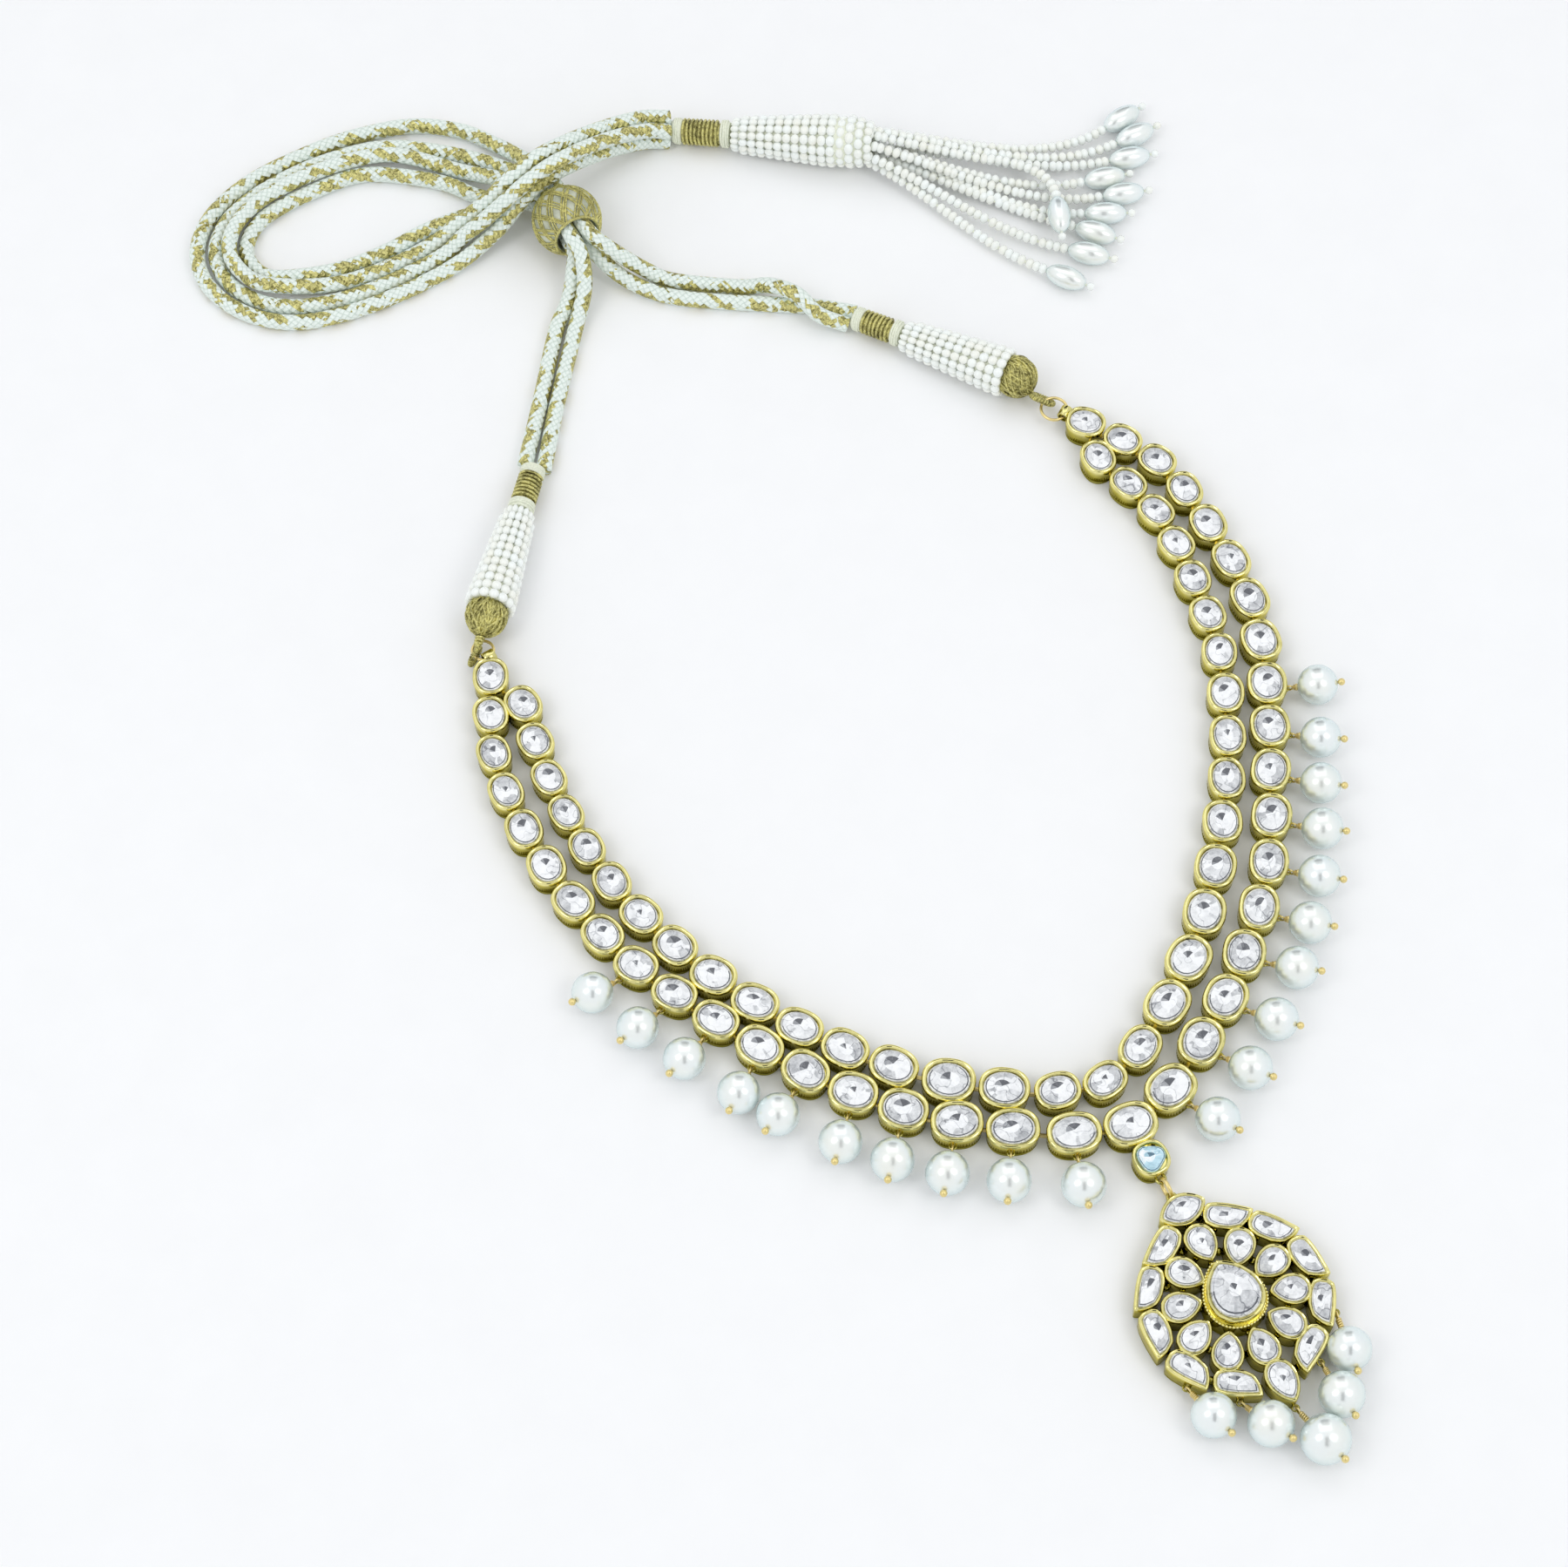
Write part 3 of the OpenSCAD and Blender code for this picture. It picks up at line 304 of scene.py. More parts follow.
def joined(pieces, name):
    """Pieces made one, with their places in the mesh."""
    pick_up(*pieces)
    bpy.ops.object.transform_apply(location=True, rotation=True, scale=True)
    if len(pieces) > 1:
        bpy.ops.object.join()
    return named(bpy.context.object, name)


def copies(pattern, places):
    """A copy of a modelled pattern at each place, each with its own mesh."""
    made = []
    for place in places:
        piece = pattern.copy()
        piece.data = pattern.data.copy()
        piece.matrix_world = place
        bpy.context.collection.objects.link(piece)
        made.append(piece)
    return made


def thrown_away(*patterns):
    for pattern in patterns:
        mesh = pattern.data
        bpy.data.objects.remove(pattern)
        bpy.data.meshes.remove(mesh)


def smoothed(piece, angle):
    pick_up(piece)
    bpy.ops.object.shade_smooth_by_angle(angle=math.radians(angle))
    return piece


def faced_out(piece, merge=1e-6):
    """Doubles merged and faces turned outwards."""
    pick_up(piece)
    bpy.ops.object.mode_set(mode="EDIT")
    bpy.ops.mesh.select_all(action="SELECT")
    bpy.ops.mesh.remove_doubles(threshold=merge)
    bpy.ops.mesh.normals_make_consistent(inside=False)
    bpy.ops.object.mode_set(mode="OBJECT")
    return piece


def select_top(piece):
    """In edit mode, selects only the highest faces that look straight up."""
    bpy.ops.mesh.select_mode(type="FACE")
    shape = bmesh.from_edit_mesh(piece.data)
    high = max(v.co.z for v in shape.verts)
    for f in shape.faces:
        f.select_set(f.normal.z > 0.9 and f.calc_center_median().z > high - 1e-6)
    bmesh.update_edit_mesh(piece.data)


def raised(outline, rows):
    """A closed box on an outline in mm, its top drawn up through rows of (share of x, share of y, height in mm)."""
    n = len(outline)
    low, first = rows[0][2], rows[1][2]
    bpy.ops.mesh.primitive_cylinder_add(
        vertices=n, radius=MM, depth=(first - low) * MM, location=(0, 0, (low + first) / 2 * MM))
    piece = settle(bpy.context.object)
    for v in piece.data.vertices:
        j = round(math.degrees(math.atan2(v.co.y, v.co.x)) / (360 / n)) % n
        row = rows[0] if v.co.z < (low + first) / 2 * MM else rows[1]
        v.co.x, v.co.y = outline[j][0] * row[0] * MM, outline[j][1] * row[1] * MM
    pick_up(piece)
    bpy.ops.object.mode_set(mode="EDIT")
    select_top(piece)
    for before, row in zip(rows[1:], rows[2:]):
        bpy.ops.mesh.extrude_region_move(TRANSFORM_OT_translate={"value": (0, 0, (row[2] - before[2]) * MM)})
        bpy.ops.transform.resize(
            value=(row[0] / before[0], row[1] / before[1], 1), center_override=(0, 0, row[2] * MM))
    bpy.ops.mesh.select_all(action="SELECT")
    bpy.ops.mesh.normals_make_consistent(inside=False)
    bpy.ops.object.mode_set(mode="OBJECT")
    return piece


def spun(profile, steps=32):
    """A round piece about X, spun from a profile of (along, radius) in mm."""
    mesh = bpy.data.meshes.new("profile")
    mesh.from_pydata([(x * MM, r * MM, 0) for x, r in profile], [(i, i + 1) for i in range(len(profile) - 1)], [])
    piece = bpy.data.objects.new("profile", mesh)
    bpy.context.collection.objects.link(piece)
    pick_up(piece)
    bpy.ops.object.mode_set(mode="EDIT")
    bpy.ops.mesh.select_all(action="SELECT")
    bpy.ops.mesh.spin(steps=steps, angle=math.tau, center=(0, 0, 0), axis=(1, 0, 0), dupli=False)
    bpy.ops.object.mode_set(mode="OBJECT")
    return smoothed(faced_out(piece), 50)


def arc(r, start, end, n):
    """Profile points on a circle about the origin, from one angle from the X axis to another."""
    angles = [math.radians(start + (end - start) * i / n) for i in range(n + 1)]
    return [(r * math.cos(a), r * math.sin(a)) for a in angles]


def about_x(x, r, a):
    """A point at a distance from the X axis, turned about it, in metres."""
    return Vector((x, r * math.cos(a), r * math.sin(a))) * MM


def shift_x(x):
    return Matrix.Translation((x * MM, 0, 0))


def placed(piece, place):
    piece.matrix_world = place
    return piece


def ring(r, wire, around=28, section=10):
    """A ring of round wire, flat, at the origin."""
    put_down()
    bpy.ops.mesh.primitive_torus_add(
        major_radius=r * MM, minor_radius=wire * MM, major_segments=around, minor_segments=section)
    return smoothed(bpy.context.object, 80)


def ball(r, around=16, rings=10, size=(1, 1, 1)):
    put_down()
    bpy.ops.mesh.primitive_uv_sphere_add(segments=around, ring_count=rings, radius=r * MM)
    bpy.context.object.scale = size
    return smoothed(settle(bpy.context.object), 80)


def wire(points, d, section, closed=False):
    """A round wire or thread through points in metres."""
    line = bpy.data.curves.new("wire", "CURVE")
    line.dimensions = "3D"
    line.bevel_depth = d / 2 * MM
    line.bevel_resolution = section
    line.use_fill_caps = not closed
    run = line.splines.new("POLY")
    run.points.add(len(points) - 1)
    for at, p in zip(run.points, points):
        at.co = (*p, 1)
    run.use_cyclic_u = closed
    piece = bpy.data.objects.new("wire", line)
    bpy.context.collection.objects.link(piece)
    pick_up(piece)
    bpy.ops.object.convert(target="MESH")
    return smoothed(faced_out(bpy.context.object, 1e-7), 70)


def cord_tube(name, path, radius, sides=16):
    """A cord's tube through a path in metres, with turn and length in mm as its UV map."""
    verts, faces, marks = [], [], []
    run = 0.0
    for i, p in enumerate(path):
        if i:
            run += (p - path[i - 1]).length / MM
        way = (path[min(i + 1, len(path) - 1)] - path[max(i - 1, 0)]).normalized()
        side = way.cross(Vector((0, 0, 1))).normalized()
        up = side.cross(way)
        marks.append(run)
        for j in range(sides):
            a = math.tau * (j + 0.5) / sides
            verts.append(p + radius * (math.cos(a) * side + math.sin(a) * up))
    last = len(path) - 1
    for i in range(last):
        for j in range(sides):
            k = (j + 1) % sides
            faces.append((i * sides + j, i * sides + k, (i + 1) * sides + k, (i + 1) * sides + j))
    faces += [tuple(range(sides - 1, -1, -1)), tuple(last * sides + j for j in range(sides))]
    mesh = bpy.data.meshes.new(name)
    mesh.from_pydata(verts, [], faces)
    lay = mesh.uv_layers.new(name="braid")
    for f in mesh.polygons:
        for at in f.loop_indices:
            v = mesh.loops[at].vertex_index
            j = v % sides
            if f.index < last * sides and f.index % sides == sides - 1 and j == 0:
                j = sides
            lay.data[at].uv = (j / sides, marks[v // sides])
    piece = bpy.data.objects.new(name, mesh)
    bpy.context.collection.objects.link(piece)
    return smoothed(piece, 60)


def dressed(parts, name, finish, slot, *nodes):
    """A finished piece, from one part or a list: named, given its finish, carried by the necklace, standing for
    its solids."""
    piece = joined(parts, name) if isinstance(parts, list) else named(parts, name)
    piece.data.materials.clear()
    piece.data.materials.append(finish)
    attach(piece, "root")
    if nodes:
        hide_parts(*nodes)
    return piece


# ---------------------------------------------------------------- finishes

class Amount:
    """A number that changes over a surface, for sums written out in Python."""

    def __init__(self, finish, socket):
        self.finish, self.socket = finish, socket

    def _sum(self, operation, *terms):
        return self.finish.node("ShaderNodeMath", {"operation": operation}, dict(enumerate(terms)))

    def __add__(self, other):
        return self._sum("ADD", self, other)

    def __sub__(self, other):
        return self._sum("SUBTRACT", self, other)

    def __rsub__(self, other):
        return self._sum("SUBTRACT", other, self)

    def __mul__(self, other):
        return self._sum("MULTIPLY", self, other)

    def __truediv__(self, other):
        return self._sum("DIVIDE", self, other)

    def __mod__(self, other):
        return self._sum("FLOORED_MODULO", self, other)

    def __gt__(self, other):
        return self._sum("GREATER_THAN", self, other)

    def __lt__(self, other):
        return self._sum("LESS_THAN", self, other)

    def sine(self):
        return self._sum("SINE", self)

    def size(self):
        return self._sum("ABSOLUTE", self)

    def floor(self):
        return self._sum("FLOOR", self)

    def highest(self, other):
        return self._sum("MAXIMUM", self, other)


class Finish:
    """A finish being mixed: its nodes are added one by one, and surface() closes it."""

    def __init__(self, name):
        self.material = bpy.data.materials.new(name)
        self.material.use_nodes = True
        self.tree = self.material.node_tree
        self.tree.nodes.clear()

    def node(self, kind, settings=None, inputs=None, out=0):
        made = self.tree.nodes.new(kind)
        for key, value in (settings or {}).items():
            if key == "stops":
                ramp = made.color_ramp.elements
                while len(ramp) < len(value):
                    ramp.new(0.5)
                for stop, (place, colour) in zip(ramp, value):
                    stop.position, stop.color = place, (*colour, 1)
            else:
                setattr(made, key, value)
        for key, value in (inputs or {}).items():
            if isinstance(value, Amount):
                self.tree.links.new(value.socket, made.inputs[key])
            elif hasattr(value, "__len__") and len(value) == 3 and len(made.inputs[key].default_value) == 4:
                made.inputs[key].default_value = (*value, 1)
            else:
                made.inputs[key].default_value = value
        return Amount(self, made.outputs[out]) if made.outputs else None

    def place(self):
        return self.node("ShaderNodeTexCoord", out="Object")

    def noise(self, scale, detail=2.0, rough=0.5):
        return self.node("ShaderNodeTexNoise", None, {
            "Vector": self.place(), "Scale": scale, "Detail": detail, "Roughness": rough})

    def ramp(self, amount, *stops):
        return self.node("ShaderNodeValToRGB", {"stops": stops}, {0: amount})

    def mixed(self, share, a, b):
        return self.node("ShaderNodeMix", {"data_type": "RGBA"}, {0: share, 6: a, 7: b}, out=2)

    def ranged(self, amount, low, high, new_low, new_high):
        return self.node("ShaderNodeMapRange", None, {0: amount, 1: low, 2: high, 3: new_low, 4: new_high})

    def blend(self, amount, low, high, a, b):
        """One colour below an amount, another above a higher one."""
        return self.mixed(self.ranged(amount, low, high, 0, 1), a, b)

    def part(self, vector, axis):
        return self.node("ShaderNodeSeparateXYZ", None, {0: vector}, out=axis)

    def bump(self, height, distance, strength=1.0):
        return self.node("ShaderNodeBump", None, {"Height": height, "Distance": distance, "Strength": strength})

    def surface(self, **values):
        """Closes the finish. A value is a plain number or colour, or an amount that changes over the surface."""
        shader = self.node("ShaderNodeBsdfPrincipled", None, {
            key.replace("_", " "): value for key, value in values.items()})
        self.node("ShaderNodeOutputMaterial", None, {0: shader})
        return self.material


def colour(rgb, *factors):
    """A colour, brighter or darker by one factor or by one for each channel."""
    factors = factors * 3 if len(factors) == 1 else factors or (1, 1, 1)
    return tuple(min(1, c * k) for c, k in zip(rgb, factors))


def finish_once(make):
    """Mixes a finish on its first use and gives the same one afterwards."""
    def given(*args):
        name = make.__name__ if not args else make.__name__ + "_" + "_".join(str(a) for a in args)
        return bpy.data.materials.get(name) or make(Finish(name), bpy.context.scene.kundan_colours, *args)
    return given


@finish_once
def polished_gold(f, tones):
    """Polished gold sheet: bright and softly uneven above, with painted shade that turns it olive towards its foot
    and a painted dark line of shade in the groove near its foot.
    """
    gold = colour(tones.gold)
    # Dark olive gold: the colour of the painted shade and of the random patches
    deep = colour(gold, 0.27, 0.27, 0.12)
    height = f.part(f.place(), "Z")
    # Painted shade: the wall darkens towards its foot, between 3.7 mm and 1 mm over the floor
    wall = f.ranged(height, 0.001, 0.0037, 0.95, 0.1)
    # Painted shade: a dark line in the groove about 0.6 mm over the floor
    painted_groove_shade = f.ranged((height - 0.00059).size(), 0.00004, 0.00016, 1, 0)
    patches = f.noise(420, 3, 0.6)
    share = (wall + f.ranged(patches, 0.45, 0.75, 0, 0.3)).highest(painted_groove_shade)
    dents = f.noise(650, 2, 0.5)
    marks = f.noise(5200, 3, 0.7)
    return f.surface(
        Base_Color=f.mixed(share, gold, deep), Metallic=1.0, Specular_Tint=gold,
        Roughness=f.ranged(patches, 0.3, 0.75, 0.03, 0.1),
        Normal=f.bump(dents + marks * 0.04, 0.00003, 0.4))


@finish_once
def gold_wire(f, tones):
    """Drawn gold wire, slightly greener than the sheet, with soft draw marks."""
    gold = colour(tones.gold, 0.55, 0.68, 0.42)
    deep = colour(gold, 0.3, 0.3, 0.16)
    grain = f.noise(2600, 3, 0.6)
    return f.surface(
        Base_Color=f.mixed(f.ranged(grain, 0.4, 0.75, 0, 0.8), gold, deep), Metallic=1.0, Specular_Tint=gold,
        Roughness=f.ranged(grain, 0.3, 0.7, 0.08, 0.2), Normal=f.bump(grain, 0.00003, 0.5))


def uncut(f, dark, mid, light):
    """An uncut stone over foil, with the lightness of each of its planes, partly random and partly painted
    reflections and shade, streaks and fine veins.
    """
    tone = f.node("ShaderNodeAttribute", {"attribute_name": "tone"}, out="Fac")
    streaks = f.noise(800, 4, 0.65)
    fine = f.noise(3000, 2, 0.6)
    vein = f.ranged((f.noise(330, 1.5, 0.6) - 0.5).size(), 0.003, 0.014, 1, 0)
    value = tone + (streaks - 0.5) * 0.85 + (fine - 0.5) * 0.25 - vein * 0.32
    return f.surface(
        Base_Color=f.ramp(value, (0.0, dark), (0.35, mid), (0.75, light), (1.0, (0.94, 0.945, 0.95))),
        Roughness=f.ranged(streaks, 0.3, 0.7, 0.05, 0.16), IOR=1.55, Coat_Weight=0.35, Coat_Roughness=0.03,
        Normal=f.bump(streaks + fine * 0.25, 0.00022, 0.7))


@finish_once
def uncut_stone(f, tones):
    """Uncut stone over silver foil: silvery white, with grey planes, partly random and partly painted reflections,
    and thin grey lines inside, from veins and from a painted reflection of the rim.
    """
    return uncut(f, (0.08, 0.085, 0.1), (0.3, 0.31, 0.33), colour(tones.stone))


@finish_once
def pale_blue_stone(f, tones):
    """The connector's pale blue uncut stone."""
    return uncut(f, (0.06, 0.15, 0.22), (0.28, 0.48, 0.58), colour(tones.pale_stone))


@finish_once
def pearl_skin(f, tones):
    """Pearl: milky white, with painted shade that makes it cool and darker towards its outline as seen from the
    camera, a faint warm bloom and a soft deep gloss.
    """
    white = colour(tones.pearl)
    warm = colour(white, 1.02, 0.99, 0.93)
    # Painted shade: the cool, darker colour of the pearl's outline
    shade = colour(white, 0.68, 0.8, 0.82)
    bloom = f.noise(160, 2, 0.5)
    skin = f.noise(1500, 2, 0.5)
    # Painted shade grows from the middle to the outline, as seen from the camera
    facing_for_painted_shade = f.node("ShaderNodeLayerWeight", None, {"Blend": 0.4}, out="Facing")
    body = f.blend(bloom, 0.35, 0.7, white, warm)
    return f.surface(
        Base_Color=f.blend(facing_for_painted_shade, 0.12, 0.85, body, shade), Metallic=0.5,
        Roughness=f.ranged(bloom, 0.3, 0.7, 0.2, 0.27), Coat_Weight=0.4, Coat_Roughness=0.1, Coat_IOR=1.5,
        Normal=f.bump(skin, 0.00002, 0.4))


@finish_once
def seed_bead(f, tones):
    """Pearl white seed beads, a little different from bead to bead."""
    white = colour(tones.seed_bead)
    warm = colour(white, 0.98, 0.93, 0.84)
    spread = f.noise(600, 2, 0.6)
    shade = f.node("ShaderNodeAttribute", {"attribute_name": "shade"}, out="Fac")
    return f.surface(
        Base_Color=f.mixed(f.ranged(spread, 0.4, 0.7, 0, 0.7) * 0.5 + shade * 0.5, white, warm),
        Roughness=f.ranged(spread, 0.3, 0.7, 0.12, 0.24), Coat_Weight=0.6, Coat_Roughness=0.06,
        Normal=f.bump(f.noise(2500, 2), 0.00003, 0.5))


@finish_once
def metal_thread(f, tones, worn=1.0):
    """Antique gold thread: flat gilt strip wound on a core, glinting in light and dark flecks."""
    light = colour(tones.gold_thread)
    dark = tuple(a + (b - a) * worn for a, b in zip(light, colour(tones.dark_thread)))
    flecks = f.noise(2300, 3, 0.75)
    patches = f.noise(500, 2, 0.5)
    share = f.ranged(flecks + patches * 0.6, 0.62, 0.95, 0, 1)
    return f.surface(
        Base_Color=f.ramp(share, (0, dark), (0.55, light), (1, colour(light, 1.5))), Metallic=0.8,
        Roughness=f.ranged(flecks, 0.3, 0.7, 0.5, 0.24), Normal=f.bump(flecks, 0.0003, 1.0))


@finish_once
def cream_thread(f, tones):
    """Cream thread: matt, with fine strands."""
    cream = colour(tones.cream_thread)
    strands = f.noise(3000, 3, 0.7)
    return f.surface(
        Base_Color=f.blend(strands, 0.3, 0.7, colour(cream, 0.8), cream),
        Roughness=f.ranged(strands, 0.3, 0.7, 0.7, 0.85), Normal=f.bump(strands, 0.00012, 0.7))


@finish_once
def braid(f, tones):
    """A round braid of white thread, whose gold threads come up stitch by stitch in long slanting patches."""
    uv = f.node("ShaderNodeUVMap", {"uv_map": "braid"})
    turn, along = f.part(uv, "X"), f.part(uv, "Y")
    a, b = turn * 8 + along * 0.8, turn * 8 - along * 0.8
    over = ((a.floor() + b.floor()) % 2) > 0.5
    strand_a, strand_b = (a * math.pi).sine().size(), (b * math.pi).sine().size()
    relief = over * strand_a + (1 - over) * strand_b
    stitch_turn, stitch_along = (a.floor() + b.floor() + 1) / 16, (a.floor() - b.floor()) / 1.6
    chance = f.node("ShaderNodeTexWhiteNoise", {"noise_dimensions": "2D"}, {
        "Vector": f.node("ShaderNodeCombineXYZ", None, {0: a.floor(), 1: b.floor()})}, out="Value")
    wander = f.noise(260, 2, 0.6)
    across, length_of = stitch_turn * 4 + stitch_along / 7 + wander * 1.1, stitch_along / 6 + wander * 1.5
    in_width = (across % 1 - 0.5).size() + (chance - 0.5) * 0.3 < 0.44
    in_length = (length_of % 1 - 0.5).size() + (chance - 0.5) * 0.2 < 0.45
    patch = in_width * in_length * (((across.floor() + length_of.floor()) % 2) > 0.5)
    jagged = f.noise(3000, 3, 0.7)
    dark, light = colour(tones.dark_thread), colour(tones.gold_thread)
    threads = f.ramp(jagged + chance * 0.12, (0.4, dark), (0.55, light), (0.72, colour(light, 1.5)))
    # Painted shade: the white turns darker and greener where the strands dip between each other
    white = f.mixed(f.ranged(relief, 0, 0.6, 1, 0), colour(tones.cord), colour(tones.cord, 0.76, 0.84, 0.78))
    return f.surface(
        Base_Color=f.mixed(patch, white, threads), Metallic=patch * 0.55,
        Roughness=f.ranged(patch, 0, 1, 0.75, 0.36), Normal=f.bump(relief + jagged * 0.35, 0.00025, 0.7))


@finish_once
def wound_silk(f, tones):
    """The slide bead's core: cream and grey green silk."""
    patches = f.noise(260, 2, 0.5)
    strands = f.noise(2600, 3, 0.7)
    pale = colour(tones.cream_thread, 0.72)
    return f.surface(
        Base_Color=f.blend(patches + strands * 0.3, 0.5, 0.85, (0.3, 0.32, 0.22), pale),
        Roughness=f.ranged(strands, 0.3, 0.7, 0.6, 0.8), Normal=f.bump(strands, 0.0001, 0.7))


@finish_once
def paper(f, tones):
    """The pale floor, with a hardly visible grain."""
    grain = f.noise(90, 3, 0.6)
    floor = colour(tones.floor)
    return f.surface(
        Base_Color=f.blend(grain, 0.3, 0.7, floor, colour(floor, 0.985)),
        Roughness=f.ranged(grain, 0.3, 0.7, 0.75, 0.85))


@finish_once
def felt(f, tones):
    """The black felt of the cards that the gold and the pearls mirror."""
    nap = f.noise(700, 3, 0.7)
    return f.surface(Base_Color=f.blend(nap, 0.3, 0.7, (0.002,) * 3, (0.012,) * 3), Roughness=0.95)


# ---------------------------------------------------------------- what a user may change

def tint(name, description, rgb):
    return bpy.props.FloatVectorProperty(
        name=name, description=description, subtype="COLOR", size=3, min=0, max=1, default=rgb)


def length(name, description, mm):
    return bpy.props.FloatProperty(
        name=name, description=description, default=mm * MM, min=0, unit="LENGTH", precision=5)


class KUNDAN_colours(bpy.types.PropertyGroup):
    gold: tint("Gold", "Colour of the polished gold", (0.95, 0.87, 0.38))
    stone: tint("Stones", "Lightest colour of the uncut stones", (0.76, 0.77, 0.78))
    pale_stone: tint("Connector stone", "Lightest colour of the stone above the pendant", (0.55, 0.78, 0.88))
    pearl: tint("Pearls", "Colour of the pearls", (0.9, 0.94, 0.93))
    seed_bead: tint("Seed beads", "Colour of the seed beads", (0.92, 0.96, 0.94))
    gold_thread: tint("Gold thread", "Light colour of the metal thread", (0.56, 0.52, 0.2))
    dark_thread: tint("Dark thread", "Dark colour between the metal threads", (0.17, 0.15, 0.04))
    cream_thread: tint("Cream thread", "Colour of the pale bindings", (0.9, 0.93, 0.76))
    cord: tint("Cords", "White of the braided cords", (0.86, 0.93, 0.87))
    floor: tint("Floor", "Colour of the floor", (0.93, 0.93, 0.93))


class KUNDAN_sizes(bpy.types.PropertyGroup):
    collet_height: length("Collet height", "Height of a collet's rim over the floor", 4)
    cord: length("Cord", "Diameter of a braided cord", 2.7)
    pin_wire: length("Pin wire", "Diameter of the wire that holds a pearl", 0.34)
    string_bead: length("String bead", "Diameter of a seed bead on a tassel string", 1.9)
    thread: length("Thread", "Diameter of a turn of wound metal thread", 0.62)
    key_light: bpy.props.FloatProperty(
        name="Key light", description="Power of the soft lights beside the camera", default=1.2, min=0, unit="POWER")


# ---------------------------------------------------------------- operators, in the order they run

class KUNDAN_OT_camera(bpy.types.Operator):
    """Stands the camera at the picture's viewing angle."""
    bl_idname = "kundan.camera"
    bl_label = "Camera"

    def execute(self, context):
        view = bpy.data.cameras.new("camera")
        view.lens, view.sensor_width, view.clip_start = 88, 36, 0.01
        camera = bpy.data.objects.new("camera", view)
        camera.location = CAMERA_AT
        camera.rotation_euler = [math.radians(a) for a in CAMERA_TURN]
        context.collection.objects.link(camera)
        context.scene.camera = camera
        return {"FINISHED"}


class KUNDAN_OT_slide_bead(bpy.types.Operator):
    """Winds the slide bead: a silk core with metal threads that run to its mouths."""
    bl_idname = "kundan.slide_bead"
    bl_label = "Slide bead"

    def execute(self, context):
        place = Matrix.Translation(spot(*SLIDE_AT)) @ turned(SLIDE_TILT, "X") @ turned(90, "Z")
        mouth = math.degrees(math.asin(SLIDE_MOUTH_R / SLIDE_R))
        half = SLIDE_R * math.cos(math.radians(mouth))
        wall = SLIDE_MOUTH_R - 0.05
        core = spun([(-half, wall)] + arc(SLIDE_R, 180 - mouth, mouth, 20) + [(half, wall), (-half, wall)], 40)
        dressed(settle(placed(core, place)), "slide_bead_silk", wound_silk(), "wound_bead")
        random.seed(4)
        threads = []
        for j in range(72):
            bundle, way = math.tau * (j // 6) / 12, (-1) ** (j // 3)
            base, lean = bundle + 0.085 * (j % 3) + random.uniform(-0.02, 0.02), way * random.uniform(0.5, 0.62)
            line = arc(SLIDE_R + 0.04 + random.uniform(0, 0.14), 180 - mouth, mouth, 14)
            points = [place @ about_x(x, r, base + lean * (i / 7 - 1)) for i, (x, r) in enumerate(line)]
            threads.append(wire(points, random.uniform(0.26, 0.36), 1))
        for side in SIDES.values():
            threads.append(placed(ring(4.05, 0.26, 40, 10), place @ shift_x(side * (half - 0.1)) @ turned(90, "Y")))
        dressed(threads, "slide_bead_threads", metal_thread(0.35), "gold_thread", "slide_bead")
        return {"FINISHED"}


class KUNDAN_OT_cords(bpy.types.Operator):
    """Lays the four braided cords along their routes."""
    bl_idname = "kundan.cords"
    bl_label = "Cords"

    def execute(self, context):
        d = context.scene.kundan_sizes.cord
        for name, route in ROUTES.items():
            path = [spot(*curve_point(i / 6, route)) for i in range(6 * (len(route) - 1) + 1)]
            piece = dressed(cord_tube(name + "_braid", path, d / 2), name + "_braid", braid(), "braided_cord", name)
        return {"FINISHED"}


# Rows of a collet's box: share of its length, share of its width, height in mm
COLLET_ROWS = [
    (0.93, 0.93, 0), (0.95, 0.95, 0.38), (0.9, 0.9, 0.5), (0.9, 0.9, 0.68), (0.95, 0.95, 0.8),
    (0.985, 0.982, 3.1), (0.997, 0.996, 3.35), (0.992, 0.99, 3.57), (0.975, 0.97, 3.76), (0.95, 0.941, 3.9),
    (0.918, 0.904, 3.98), (0.883, 0.865, 3.99), (0.851, 0.829, 3.93), (0.824, 0.8, 3.79), (0.806, 0.78, 3.6),
    (0.8, 0.772, 3.38), (0.8, 0.772, 2.95)]


def softened_oval(n, full=2.35):
    """An oval a little fuller than an ellipse, of unit half sizes."""
    def fuller(share):
        return math.copysign(abs(share) ** (2 / full), share) * 0.985
    return [(fuller(math.cos(t)), fuller(math.sin(t))) for t in around(n)]


